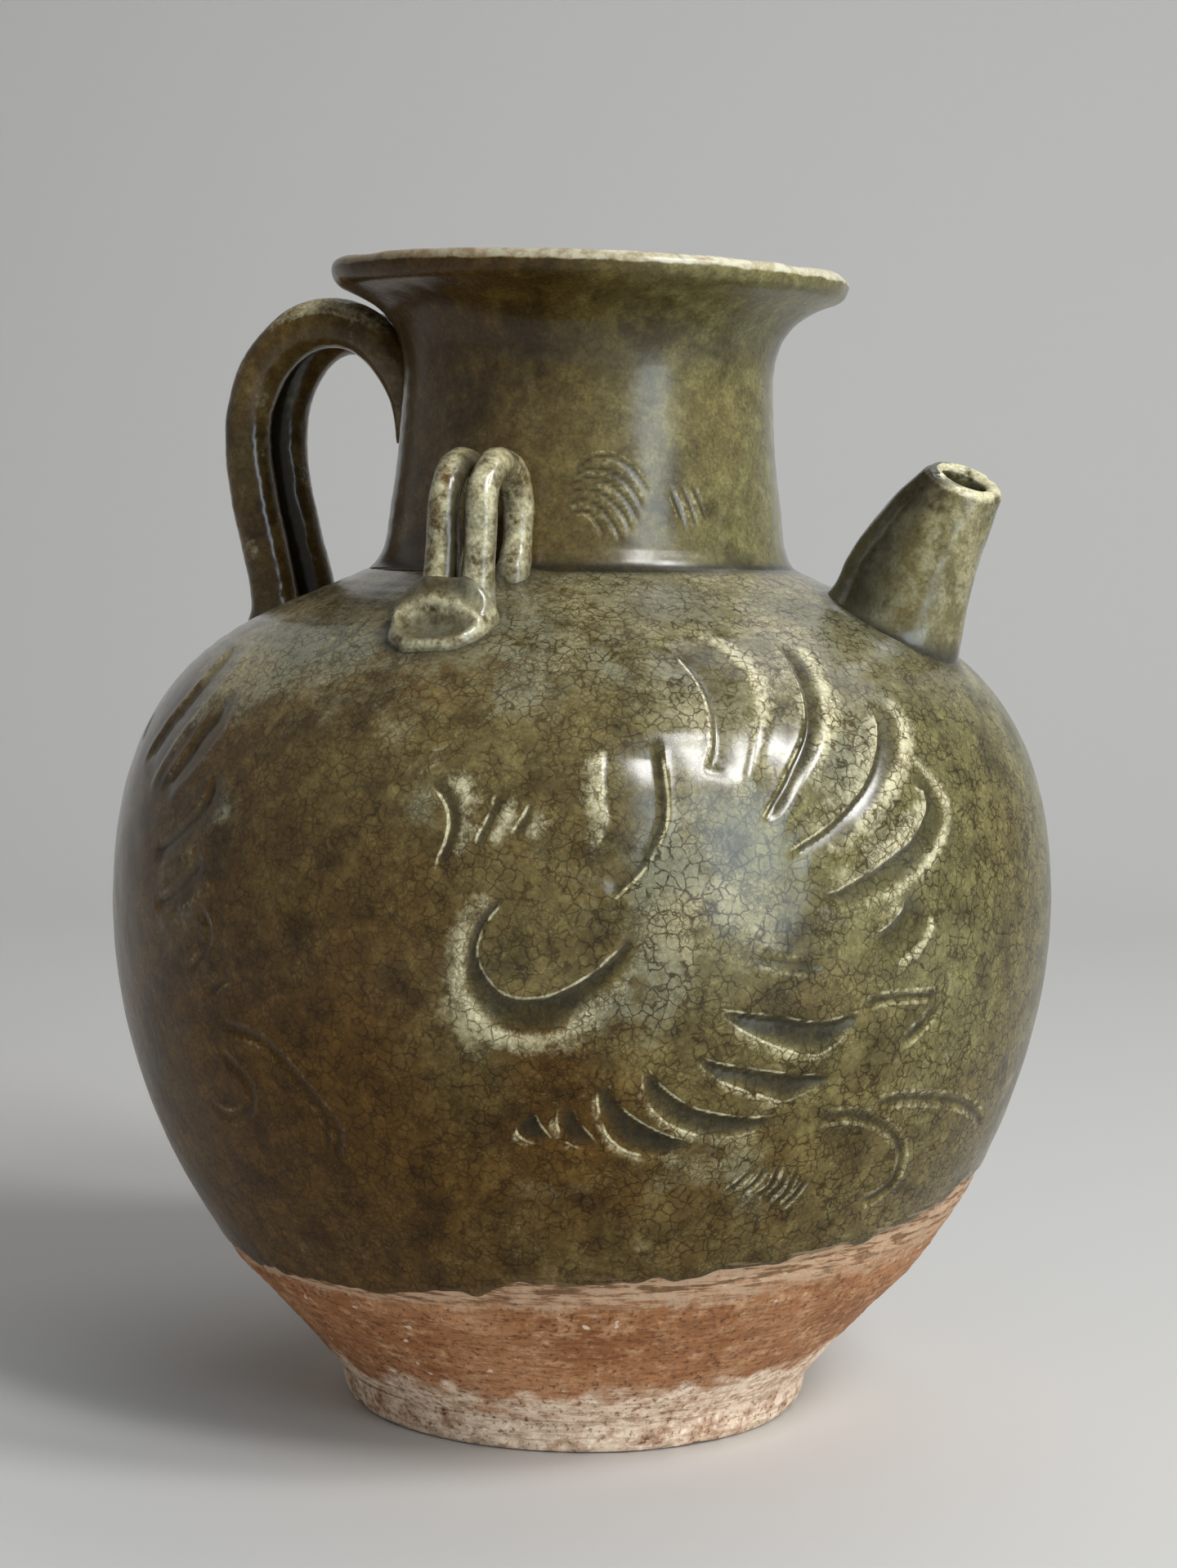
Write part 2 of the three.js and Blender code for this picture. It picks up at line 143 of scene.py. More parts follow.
def splined(points: Path, count: int) -> Points:
    """A smooth curve through the points, evenly resampled.

    Args:
        points: The points that it passes through.
        count: The number of samples.

    Returns:
        The samples. Between two points the curve is the cubic whose end tangents are
        half the chord between the neighbours on both sides.
    """
    p = np.array(points, float)
    if len(p) > 2:
        ends = np.vstack([2 * p[0] - p[1], p, 2 * p[-1] - p[-2]])
        t = np.linspace(0, 1, 12, endpoint=False)[None, :, None]
        a, b, c, d = (ends[i : len(p) - 1 + i, None, :] for i in range(4))
        curve = 0.5 * (
            2 * b
            + (c - a) * t
            + (2 * a - 5 * b + 4 * c - d) * t**2
            + (3 * b - a - 3 * c + d) * t**3
        )
        p = np.vstack([curve.reshape(-1, p.shape[1]), p[-1:]])
    return resampled(p, count)


def ripple(points: Points, wavelength: float, seed: int, waves: int = 20) -> Points:
    """Smooth seeded unevenness over space.

    Args:
        points: The places, with shape (..., 3), in millimetres.
        wavelength: The usual distance between two rises.
        seed: The seed of the waves' directions and phases.
        waves: The number of waves.

    Returns:
        The sum of cosine waves in random directions, scaled to about -1 to 1.
    """
    rng = np.random.default_rng(seed)
    direction = rng.normal(size=(waves, 3))
    direction /= np.linalg.norm(direction, axis=1)[:, None]
    number = 2 * np.pi / (wavelength * rng.uniform(0.75, 1.4, waves))
    phase = rng.uniform(0, 2 * np.pi, waves)
    total = np.zeros(points.shape[:-1])
    for k in range(waves):
        total += np.cos(points @ (direction[k] * number[k]) + phase[k])
    return total / math.sqrt(waves) * 0.9


def rippled(points: Points, *waves: tuple[float, float, int]) -> Points:
    """The sum of ripples, each given as its height, its wavelength and its seed."""
    return sum(height * ripple(points, length, seed) for height, length, seed in waves)


# Meshes


@dataclass
class Surface:
    """A grid of points with values at each, ready to become a mesh.

    Attributes:
        points: The grid, with shape (rows, columns, 3), in millimetres. Rows climb and
            columns turn anticlockwise seen from above, so that the faces point out.
        turns: True where the last column joins the first.
        loops: True where the last row joins the first.
        caps: For the first and the last row, True where a fan closes it.
        values: Named values at each point, with shape (rows, columns).
    """

    points: Points
    turns: bool = True
    loops: bool = False
    caps: tuple[bool, bool] = (False, False)
    values: dict[str, Points] = field(default_factory=dict)

    def faces(self) -> tuple[Points, Points]:
        """The quads between neighbours on the grid and the triangles of the caps."""
        rows, columns = self.points.shape[:2]
        number = np.arange(rows * columns).reshape(rows, columns)
        if self.turns:
            number = np.hstack([number, number[:, :1]])
        if self.loops:
            number = np.vstack([number, number[:1]])
        quads = np.stack(
            [number[:-1, :-1], number[:-1, 1:], number[1:, 1:], number[1:, :-1]], -1
        ).reshape(-1, 4)
        fans = [np.empty((0, 3), int)]
        middle = rows * columns
        for closed, ring in zip(self.caps, (number[0][::-1], number[-1])):
            if closed:
                hub = np.full(len(ring) - 1, middle)
                fans.append(np.stack([ring[:-1], ring[1:], hub], -1))
                middle += 1
        return quads, np.vstack(fans)

    def ends(self, grid: Points) -> list[Points]:
        """The mean of the first and of the last row, where a cap closes it."""
        return [grid[row].mean(0) for row, closed in zip((0, -1), self.caps) if closed]

    def spots(self) -> Points:
        """All points in one list, the middles of the caps last."""
        return np.vstack([self.points.reshape(-1, 3), *self.ends(self.points)])

    def column_values(self, name: str) -> Points:
        """One named value at every point, the middles of the caps last."""
        grid = self.values[name]
        return np.concatenate([grid.ravel(), self.ends(grid)])


def piece_from(
    name: str, surface: Surface, material: Material, slot: Slot, *nodes: str
) -> bpy.types.Object:
    """Writes a surface as a smooth mesh that rides on the body.

    Args:
        name: The piece's name.
        surface: Its grid and values.
        material: Its finish.
        slot: The record's material slot; not used.
        *nodes: The CAD nodes that it stands for.

    Returns:
        The new object, at the origin.
    """
    quads, triangles = surface.faces()
    mesh = bpy.data.meshes.new(name)
    spots = surface.spots() * MM
    mesh.vertices.add(len(spots))
    mesh.vertices.foreach_set("co", spots.astype(np.float32).ravel())
    mesh.loops.add(quads.size + triangles.size)
    corners = np.concatenate([quads.ravel(), triangles.ravel()]).astype(np.int32)
    mesh.loops.foreach_set("vertex_index", corners)
    mesh.polygons.add(len(quads) + len(triangles))
    starts = np.concatenate(
        [np.arange(len(quads)) * 4, quads.size + np.arange(len(triangles)) * 3]
    )
    mesh.polygons.foreach_set("loop_start", starts.astype(np.int32))
    mesh.update(calc_edges=True)
    mesh.polygons.foreach_set("use_smooth", np.ones(len(mesh.polygons), bool))
    for value in surface.values:
        attribute = mesh.attributes.new(value, "FLOAT", "POINT")
        attribute.data.foreach_set("value", surface.column_values(value).astype(np.float32))
    mesh.materials.append(material)
    mesh.update()
    piece = bpy.data.objects.new(name, mesh)
    bpy.context.scene.collection.objects.link(piece)
    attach(piece, BODY)
    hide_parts(*nodes)
    log.info("%s: %d faces", name, len(mesh.polygons))
    return piece


def normals_of(points: Points, turns: bool) -> Points:
    """Unit normals of a grid, from the steps between its neighbours.

    Args:
        points: The grid, rows climbing and columns turning anticlockwise.
        turns: True where the last column joins the first.

    Returns:
        The outward normal at each point.
    """
    up = np.gradient(points, axis=0)
    if turns:
        round_it = np.roll(points, -1, axis=1) - np.roll(points, 1, axis=1)
    else:
        round_it = np.gradient(points, axis=1)
    normal = np.cross(round_it, up)
    return normal / np.maximum(np.linalg.norm(normal, axis=-1, keepdims=True), 1e-9)


def revolved(profile: Points, azimuths: Points) -> Points:
    """Carries a profile of radius and height round the axis.

    Args:
        profile: Points of radius and height, shape (rows, 2) or (rows, columns, 2).
        azimuths: The angles of the columns, in radians.

    Returns:
        The grid: x = radius times cosine, y = radius times sine, z = height.
    """
    if profile.ndim == 2:
        profile = np.repeat(profile[:, None, :], len(azimuths), axis=1)
    radius, height = profile[..., 0], profile[..., 1]
    return np.stack(
        [radius * np.cos(azimuths), radius * np.sin(azimuths), height], -1
    )


def all_round(count: int) -> Points:
    """Evenly spaced azimuths of a full turn, in radians."""
    return np.linspace(-np.pi, np.pi, count, endpoint=False)


def from_zero(count: int) -> Points:
    """Evenly spaced angles of a full turn that starts at zero, in radians."""
    return np.linspace(0, 2 * np.pi, count, endpoint=False)


# Finishes


@dataclass(frozen=True)
class Value:
    """A socket of a node tree, with which one reckons as with a number or a colour."""

    graph: "Graph"
    socket: Socket

    def __add__(self, other: object) -> "Value":
        """The sum."""
        return self.graph.math("ADD", self, other)

    def __sub__(self, other: object) -> "Value":
        """The difference."""
        return self.graph.math("SUBTRACT", self, other)

    def __rsub__(self, other: float) -> "Value":
        """A number less this value."""
        return self.graph.math("SUBTRACT", other, self)

    def __mul__(self, other: object) -> "Value":
        """The product."""
        return self.graph.math("MULTIPLY", self, other)

    def __truediv__(self, other: object) -> "Value":
        """The quotient."""
        return self.graph.math("DIVIDE", self, other)

    def clamped(self) -> "Value":
        """The value kept between 0 and 1."""
        return self.graph.math("MULTIPLY", self, 1.0, clamp=True)

    def swing(self, amount: float) -> "Value":
        """A noise between 0 and 1, turned into a swing of that amount round zero."""
        return (self - 0.5) * amount

    def step(self, low: float, high: float) -> "Value":
        """A smooth rise from 0 at low to 1 at high."""
        fed = {"Value": self, "From Min": low, "From Max": high}
        return self.graph.value("MapRange", fed, "Result", interpolation_type="SMOOTHSTEP")

    def band(self, middle: float, width: float) -> "Value":
        """A narrow line: 1 where the value is at its middle, 0 beyond its width."""
        off = self.graph.math("ABSOLUTE", self - middle)
        return 1.0 - off.step(0.3 * width, width)

    def axis(self, index: int) -> "Value":
        """One of the three parts of a place."""
        return self.graph.value("SeparateXYZ", {0: self}, index)

    def height(self) -> "Value":
        """The height of a place, in millimetres."""
        return self.axis(2) * (1 / MM)

    def rightwards(self, start: float, slope: float) -> "Value":
        """A value that starts at the axis and grows per metre towards the photo's right."""
        x, y = self.axis(0), self.axis(1)
        return x * (RIGHT[0] * slope) + start + y * (RIGHT[1] * slope)

    def mixed(self, share: object, colour: object) -> "Value":
        """This colour blended into another by a share."""
        return self.graph.mix(share, self, colour)

    def tinted(self, share: object, colour: Colour) -> "Value":
        """This colour multiplied by another, by a share."""
        return self.graph.mix(share, self, colour, "MULTIPLY")

    def noise(self, size: float, detail: float = 3.0, rough: float = 0.5) -> "Value":
        """Cloudy noise over a place, whose blotches are about that many millimetres."""
        fed = {"Vector": self, "Scale": 1 / (size * MM), "Detail": detail, "Roughness": rough}
        return self.graph.value("TexNoise", fed, "Fac")

    def brushed(self, flat: float, size: float, *detail: float) -> "Value":
        """Noise whose height is squeezed by a factor, for marks that run one way."""
        fed = {"Vector": self, "Scale": (1.0, 1.0, flat)}
        return self.graph.value("Mapping", fed, "Vector").noise(size, *detail)


@dataclass(frozen=True)
class Graph:
    """A node tree under construction."""

    tree: Tree

    def put(self, socket: Socket, value: object) -> None:
        """Links a socket to a value, or sets its own."""
        if isinstance(value, Value):
            self.tree.links.new(value.socket, socket)
        elif isinstance(value, tuple) and len(value) == 3 and socket.type == "RGBA":
            socket.default_value = (*value, 1.0)
        else:
            socket.default_value = value

    def node(self, kind: str, fed: dict, **settings: object) -> Node:
        """Adds a node, sets its options and feeds its inputs by name or number."""
        made = self.tree.nodes.new("ShaderNode" + kind)
        for name, value in settings.items():
            setattr(made, name, value)
        for key, value in fed.items():
            self.put(made.inputs[key], value)
        return made

    def value(self, kind: str, fed: dict, output: object = 0, **settings: object) -> Value:
        """Adds a node and gives one of its outputs."""
        return Value(self, self.node(kind, fed, **settings).outputs[output])

    def math(self, operation: str, *values: object, clamp: bool = False) -> Value:
        """The result of a Math node, kept between 0 and 1 where it is clamped."""
        fed = dict(enumerate(values))
        return self.value("Math", fed, operation=operation, use_clamp=clamp)

    def most(self, first: Value, *others: Value) -> Value:
        """The greatest of several values."""
        for other in others:
            first = self.math("MAXIMUM", first, other)
        return first

    def mix(
        self, share: object, first: object, second: object, blend: str = "MIX"
    ) -> Value:
        """Blends the second colour into the first by a share."""
        fed = {0: share, 6: first, 7: second}
        return self.value("Mix", fed, 2, data_type="RGBA", blend_type=blend)

    def stored(self, *names: str) -> tuple[Value, ...]:
        """Values stored at the mesh's points."""
        return tuple(self.value("Attribute", {}, "Fac", attribute_name=name) for name in names)

    def group(self, tree: Tree, **fed: object) -> dict[str, Value]:
        """Adds a node group and gives its outputs by name."""
        made = self.node("Group", {}, node_tree=tree)
        for name, value in fed.items():
            self.put(made.inputs[name], value)
        return {output.name: Value(self, output) for output in made.outputs}


@dataclass
class Layers:
    """A node group under construction, with its own graph and its two end nodes.

    Attributes:
        name: Its name.
        inputs: The kinds of its input sockets by name.
        outputs: The kinds of its output sockets by name.
    """

    name: str
    inputs: dict[str, str]
    outputs: dict[str, str]

    def __post_init__(self) -> None:
        """Adds the tree, its sockets and its end nodes."""
        self.tree = bpy.data.node_groups.new(self.name, "ShaderNodeTree")
        for end, sockets in (("INPUT", self.inputs), ("OUTPUT", self.outputs)):
            for label, kind in sockets.items():
                self.tree.interface.new_socket(label, in_out=end, socket_type=kind)
        self.graph = Graph(self.tree)
        given = self.tree.nodes.new("NodeGroupInput").outputs
        self.given = {name: Value(self.graph, given[name]) for name in self.inputs}

    def finish(self, **results: Value) -> Tree:
        """Feeds the outputs and returns the finished tree."""
        ends = self.tree.nodes.new("NodeGroupOutput").inputs
        for name, value in results.items():
            self.graph.put(ends[name], value)
        return self.tree


@dataclass(frozen=True)
class Crackle:
    """Craquelure: fine dark lines between cells of two sizes, bent and broken by noise."""

    cells: tuple[tuple[float, float], ...] = ((520.0, 0.10), (1050.0, 0.12))
    bend_scale: float = 700.0
    bend: float = 0.0016
    tint_scale: float = 900.0

    def made(self) -> Tree:
        """Builds the group, which puts out the lines and a random tint per cell."""
        layers = Layers("craquelure", {"Place": VECTOR}, {"Line": FLOAT, "Cell": FLOAT})
        graph, place = layers.graph, layers.given["Place"]
        fed = {"Vector": place, "Scale": self.bend_scale, "Detail": 4}
        waves = graph.value("TexNoise", fed, "Color")
        fed = {0: waves, 1: (self.bend,) * 3, 2: place}
        bent = graph.value("VectorMath", fed, operation="MULTIPLY_ADD")
        thick = place.noise(2.4, 2) * 1.8 + 0.15
        lines = []
        for scale, width in self.cells:
            fed = {"Vector": bent, "Scale": scale}
            apart = graph.value("TexVoronoi", fed, "Distance", feature="DISTANCE_TO_EDGE")
            lines.append(1.0 - (apart / thick).step(0.01, width))
        patches = place.noise(6, 3).step(0.42, 0.58)
        broken = place.noise(3.5, 2).step(0.36, 0.52)
        coarse, fine = lines[0] * (broken * 0.85 + 0.15), lines[1] * patches * 0.75
        fed = {"Vector": bent, "Scale": self.tint_scale}
        tint = graph.value("TexVoronoi", fed, "Color")
        return layers.finish(Line=graph.most(coarse, fine), Cell=tint)


@dataclass(frozen=True)
class OliveGlaze:
    """The olive glaze: its colours as linear values, and where it is dull."""

    brown: Colour = (0.098, 0.052, 0.011)
    olive: Colour = (0.142, 0.126, 0.052)
    haze_green: Colour = (0.20, 0.195, 0.125)
    haze_tan: Colour = (0.36, 0.315, 0.175)
    ridge: Colour = (0.60, 0.55, 0.35)
    pool: Colour = (0.028, 0.024, 0.014)
    crackle: Colour = (0.22, 0.17, 0.11)
    lighter: Colour = (1.5, 1.5, 1.45)
    murk: Colour = (0.58, 0.56, 0.54)
    pale_grain: Colour = (1.2, 1.2, 1.22)
    dark_grain: Colour = (0.78, 0.75, 0.72)
    dull_below: tuple[float, float] = (66.0, 110.0)
    dull_flare: tuple[float, float] = (176.0, 188.0)
    dull_limb: tuple[float, float] = (46.0, 74.0)

    def gloss(self, place: Value) -> Value:
        """The coat: full on the shoulder, weak low down, under the flare and at the right."""
        raised = place.height().step(*self.dull_below)
        flare = place.height().step(*self.dull_flare)
        limb = place.rightwards(0.0, 1 / MM).step(*self.dull_limb)
        return raised * (1.0 - flare * 0.7) * (1.0 - limb * 0.75) * 0.85 + 0.02

    def made(self, crackle: Tree) -> Tree:
        """Builds the layers: colour by thickness, mottling, crackle and fine relief.

        Thin glaze over ridges is pale and thick glaze in pools is nearly black green, and the
        pieces feed painted light and shade through the same two values; between them it runs
        from warm brown to olive over the vessel, with hazy patches.
        The crackle is plainest where the glaze is hazy.

        Args:
            crackle: The craquelure group.

        Returns:
            The group.
        """
        names = ("Pool", "Thin", "Haze", "Green", "Crackle")
        layers = Layers(
            "olive_glaze_layers",
            {"Place": VECTOR, **dict.fromkeys(names, FLOAT)},
            {"Color": COLOUR, "Roughness": FLOAT, "Height": FLOAT, "Coat": FLOAT},
        )
        graph, place = layers.graph, layers.given["Place"]
        pool, thin, haze, green, strength = (layers.given[name] for name in names)
        large, middle = place.noise(24, 3), place.noise(4.0, 4, 0.65)
        fine, grain = place.noise(1.3, 3, 0.7), place.noise(0.6, 2, 0.6)
        murky = place.noise(9, 4, 0.6).step(0.34, 0.52)
        lines = graph.group(crackle, Place=place)
        hue = (green + large.swing(0.8) + fine.swing(0.6) + middle.swing(0.6)).clamped()
        base = graph.mix(hue, self.brown, self.olive)
        base = base.tinted(middle.step(0.42, 0.68), self.lighter)
        base = base.tinted(1.0 - murky, self.murk)
        worn = haze + fine.swing(1.2) + middle.swing(1.4)
        hazy = worn.step(0.05, 0.85) * haze.step(0.0, 0.5)
        veil = graph.mix(large.step(0.42, 0.60), self.haze_green, self.haze_tan)
        base = base.mixed(hazy * 0.88, veil)
        streak = thin + fine.swing(1.2) + middle.swing(0.9)
        base = base.mixed(streak.step(0.12, 0.95) * thin.step(0.02, 0.3), self.ridge)
        base = base.tinted(lines["Cell"] * 0.3, self.lighter)
        base = base.tinted(grain.step(0.50, 0.66), self.pale_grain)
        base = base.tinted(1.0 - grain.step(0.32, 0.46), self.dark_grain)
        pooled = (pool * (fine * 0.9 + 0.55)).clamped()
        base = base.mixed(pooled, self.pool)
        seen = strength * (hazy * 0.3 + 0.85) * (1.0 - pooled * 0.6)
        drawn = lines["Line"] * seen.clamped()
        return layers.finish(
            Color=base.tinted(drawn, self.crackle),
            Roughness=fine * 0.26 + 0.10 + hazy * 0.08,
            Height=place.noise(2.6, 2) * 1.5 + fine * 0.7 - drawn * 0.35,
            Coat=self.gloss(place),
        )


@dataclass(frozen=True)
class BareClay:
    """Bare fired clay: blotched pinkish brown with pale grit, pits and turning marks."""

    brown: Colour = (0.33, 0.120, 0.030)
    pink: Colour = (0.52, 0.245, 0.105)
    blotch: Colour = (0.62, 0.35, 0.18)
    foot: Colour = (1.0, 0.79, 0.60)
    turned: Colour = (0.72, 0.66, 0.60)
    grit: Colour = (1.3, 1.36, 1.45)
    pit: Colour = (0.42, 0.34, 0.28)
    fleck: Colour = (0.80, 0.62, 0.46)

    def made(self) -> Tree:
        """Builds the layers; the foot's value makes the clay paler."""
        layers = Layers(
            "bare_clay_layers",
            {"Place": VECTOR, "Foot": FLOAT},
            {"Color": COLOUR, "Roughness": FLOAT, "Height": FLOAT},
        )
        place, foot = layers.given["Place"], layers.given["Foot"]
        large, middle = place.noise(18, 3), place.noise(4, 4, 0.6)
        fine, turned = place.noise(1.0, 3, 0.75), place.brushed(7.0, 6, 3, 0.6)
        pits = 1.0 - fine.step(0.32, 0.45)
        base = layers.graph.mix(large.step(0.32, 0.7), self.brown, self.pink)
        base = base.mixed(middle.step(0.45, 0.75), self.blotch)
        base = base.mixed(foot * middle.step(0.2, 0.6), self.foot)
        base = base.tinted(turned.step(0.48, 0.62), self.turned)
        base = base.tinted(fine.step(0.54, 0.70), self.grit)
        base = base.tinted(pits, self.pit)
        return layers.finish(
            Color=base.mixed(place.noise(2.3, 1).step(0.74, 0.78), self.fleck),
            Roughness=middle * 0.25 + 0.62,
            Height=fine * 0.9 + middle * 0.8 - pits * 0.9 - turned * 1.2,
        )


@dataclass
class Coating:
    """A material under construction, with one shader.

    Attributes:
        name: The material's name.
    """

    name: str

    def __post_init__(self) -> None:
        """Adds the material, its graph and the place on the object, in metres."""
        self.material = bpy.data.materials.new(self.name)
        self.material.use_nodes = True
        self.graph = Graph(self.material.node_tree)
        self.shader = self.material.node_tree.nodes["Principled BSDF"].inputs
        self.place = self.graph.value("TexCoord", {}, "Object")

    def finish(
        self, colour: Value, roughness: Value, height: Value, strength: float
    ) -> Material:
        """Feeds the shader.

        Args:
            colour: The colour.
            roughness: The roughness.
            height: The fine relief, in tenths of a millimetre.
            strength: How strongly the relief shows.

        Returns:
            The finished material.
        """
        fed = {"Distance": 0.1 * MM, "Strength": strength, "Height": height}
        self.graph.put(self.shader["Normal"], self.graph.value("Bump", fed, "Normal"))
        self.graph.put(self.shader["Base Color"], colour)
        self.graph.put(self.shader["Roughness"], roughness)
        return self.material

    def glazed(
        self, made: dict[str, Value], colour: Value, softness: float = 0.19
    ) -> Material:
        """Feeds the glaze's colour, roughness, coat and relief to the shader.

        Args:
            made: The outputs of the shared glaze.
            colour: The finished colour.
            softness: The roughness of its gloss.

        Returns:
            The finished material.
        """
        self.graph.put(self.shader["Coat Weight"], made["Coat"])
        self.shader["Specular IOR Level"].default_value = 0.12
        self.shader["Coat Roughness"].default_value = softness
        return self.finish(colour, made["Roughness"], made["Height"], 0.45)


@dataclass(frozen=True)
class PlainGlaze:
    """The glaze on a spout, a handle or a lug.

    Attributes:
        name: The material's name.
        thin: How strongly the stored thin places lighten it.
        green: How green it is, 0 for warm brown and 1 for olive.
        haze: How hazy and pale it is all over.
        tilt: How much greener and lighter it gets per metre towards the camera's right, partly
            painted light from the lamps on that side.
        streaks: How strongly vertical runs of glaze vary its haze.
        crackle: How plain the crackle is.
    """

    name: str
    thin: float = 1.0
    green: float = 0.45
    haze: float = 0.0
    tilt: float = 5.0
    streaks: float = 0.0
    crackle: float = 0.3

    def made(self, layers: Tree) -> Material:
        """Builds the material from the shared layers and the values on the mesh."""
        coat = Coating(self.name)
        place = coat.place
        pool, thin = coat.graph.stored("pool", "thin")
        haze = place.noise(8, 3) * 0.9 + (self.haze - 0.42)
        haze = haze + place.brushed(0.35, 2.6, 3).swing(self.streaks)
        made = coat.graph.group(
            layers,
            Place=place,
            Pool=pool,
            Thin=thin * self.thin,
            Haze=haze.clamped(),
            # Greener and lighter towards the camera's right: partly painted light from the lamps
            # on that side.
            Green=place.rightwards(self.green, self.tilt),
            Crackle=self.crackle,
        )
        return coat.glazed(made, made["Color"])


@dataclass(frozen=True)
class CarvedGlaze:
    """The glaze over the carving: dark valleys, partly pooled glaze and partly painted shade,
    pale rims and bright crisp edges.

    Attributes:
        green: How green it is at the axis.
        tilt: How much greener and lighter it gets per metre towards the camera's right, partly
            painted light from the lamps on that side.
        line_width: The width of the bright line along a sharp edge, in millimetres.
        drawn_width: The width of a drawn line.
        shoulder: The heights between which the shoulder's haze sets in, partly hazy glaze and
            partly painted sheen of the light from above.
        browner: The heights below which the glaze turns browner.
        thick: The tint of thick glaze.
        brush: The colour of the pale streaks that the brush left above the rim.
    """

    green: float = 0.66
    tilt: float = 8.0
    line_width: float = 0.34
    drawn_width: float = 0.42
    shoulder: tuple[float, float] = (112.0, 141.0)
    browner: tuple[float, float] = (50.0, 100.0)
    thick: Colour = (0.62, 0.48, 0.30)
    brush: Colour = (0.42, 0.31, 0.19)

    def made(self, layers: Tree) -> Material:
        """Builds the material.

        The stored distance to the closest sharp edge draws a thin bright line along the
        edge and, just inside it, the darkest line: partly pooled glaze, partly painted shade
        under the steep wall. The distance to the closest drawn line draws a dark groove
        between two faint bright edges.

        Args:
            layers: The shared layers of glaze.

        Returns:
            The material.
        """
        coat = Coating("carved_olive_glaze")
        graph, place = coat.graph, coat.place
        edge, sharp, vale, pale, depth = graph.stored("edge", "sharp", "vale", "pale", "depth")
        tone, pool, rim, groove, scored = graph.stored("tone", "pool", "rim", "groove", "scored")
        # The dark: partly glaze pooled in the cuts and grooves, partly painted shade in the
        # valleys and under the steep edges.
        dark = graph.most(
            vale * (place.noise(2.0, 3) * 0.9 + 0.55) * 0.80,
            edge.band(0.55, 0.8) * depth.step(0.1, 0.5) * sharp * 0.62,
            groove.band(0.0, self.drawn_width) * scored * 0.9,
            pool * 0.9,
            rim * 0.25,
        )
        seldom = place.noise(4, 2).step(0.36, 0.56) * 0.75 + 0.2
        thin = graph.most(
            edge.band(-0.12, self.line_width) * sharp * seldom,
            groove.band(0.72, 0.34) * scored * 0.46,
            pale * 0.92,
        )
        haze = (tone * 1.2 + (place.noise(11, 3) * 1.3 - 0.62) + pale * 0.6).clamped()
        thick = (tone * -0.6).clamped()
        # Greener and lighter towards the camera's right: partly painted light from the lamps on
        # that side.
        green = place.rightwards(self.green, self.tilt) - thick
        made = graph.group(
            layers,
            Place=place,
            Pool=dark,
            Thin=thin,
            # The shoulder's haze: partly hazy glaze, partly painted sheen of the light from
            # above.
            Haze=(place.height().step(*self.shoulder) * 0.48 + haze).clamped(),
            Green=green + place.height().step(*self.browner) * 0.5 - 0.5,
            Crackle=place.rightwards(0.85, 4.0).clamped(),
        )
        strokes = place.brushed(8.0, 7, 3, 0.6).step(0.50, 0.58) * rim
        strokes = (strokes * place.rightwards(0.25, 14.0)).clamped() * 0.8
        colour = made["Color"].tinted(thick, self.thick).mixed(strokes, self.brush)
        return coat.glazed(made, colour)


@dataclass(frozen=True)
class NeckGlaze:
    """The glaze on the neck, with a pale worn lip, pools in the comb marks and painted shade to
    the left and under the flare.

    Attributes:
        green: How green it is at the axis.
        tilt: How much greener and lighter it gets per metre towards the camera's right, partly
            painted light from the lamps on that side.
        drawn_width: The width of a comb mark, in millimetres.
        lip_cream: The lip's colour where the glaze is worn.
        lip_tan: The lip's colour between the worn spots, on the right, painted lighter there as
            lit.
        lip_brown: The same on the left, painted darker there as in shade.
        under: The heights between which the painted shade under the flare gets darker.
        thick: The tint of the painted shade, to the left and under the flare.
    """

    green: float = 0.60
    tilt: float = 14.0
    drawn_width: float = 0.42
    lip_cream: Colour = (0.66, 0.62, 0.47)
    lip_tan: Colour = (0.48, 0.41, 0.26)
    lip_brown: Colour = (0.24, 0.17, 0.085)
    under: tuple[float, float] = (168.0, 184.0)
    thick: Colour = (0.52, 0.42, 0.26)

    def made(self, layers: Tree) -> Material:
        """Builds the material from the shared layers and the values on the mesh."""
        coat = Coating("neck_olive_glaze")
        graph, place = coat.graph, coat.place
        pool, groove, scored, lip = graph.stored("pool", "groove", "scored", "lip")
        drawn = groove.band(0.0, self.drawn_width) * scored * 0.7
        made = graph.group(
            layers,
            Place=place,
            Pool=graph.most(pool * 0.95, drawn),
            Thin=groove.band(0.72, 0.34) * scored * 0.28,
            Haze=(place.noise(10, 3) * 1.1 - 0.50).clamped(),
            # Greener and lighter towards the camera's right: partly painted light from the lamps
            # on that side.
            Green=place.rightwards(self.green, self.tilt),
            Crackle=0.35,
        )
        # Painted shade: darker and browner to the left, more so under the flare's overhang.
        shaded_leftwards = place.rightwards(0.0, -1 / MM).step(-30, 12)
        thick = shaded_leftwards * (place.height().step(*self.under) * 0.6 + 0.35)
        bare = (lip + place.noise(4.5, 4, 0.6).swing(1.0)).step(0.48, 0.80)
        bare = bare * lip.step(0.02, 0.25) * 0.92
        # Painted light: the worn lip turns from brown to tan, with more cream spots, towards the
        # lit right.
        paler = place.rightwards(0.40, 16.0)
        worn = graph.mix(paler.clamped(), self.lip_brown, self.lip_tan)
        spots = place.noise(2.2, 4, 0.7).step(0.36, 0.62) * (paler * 0.9 + 0.35)
        worn = worn.mixed(spots.clamped(), self.lip_cream)
        return coat.glazed(made, made["Color"].tinted(thick, self.thick).mixed(bare, worn), 0.27)


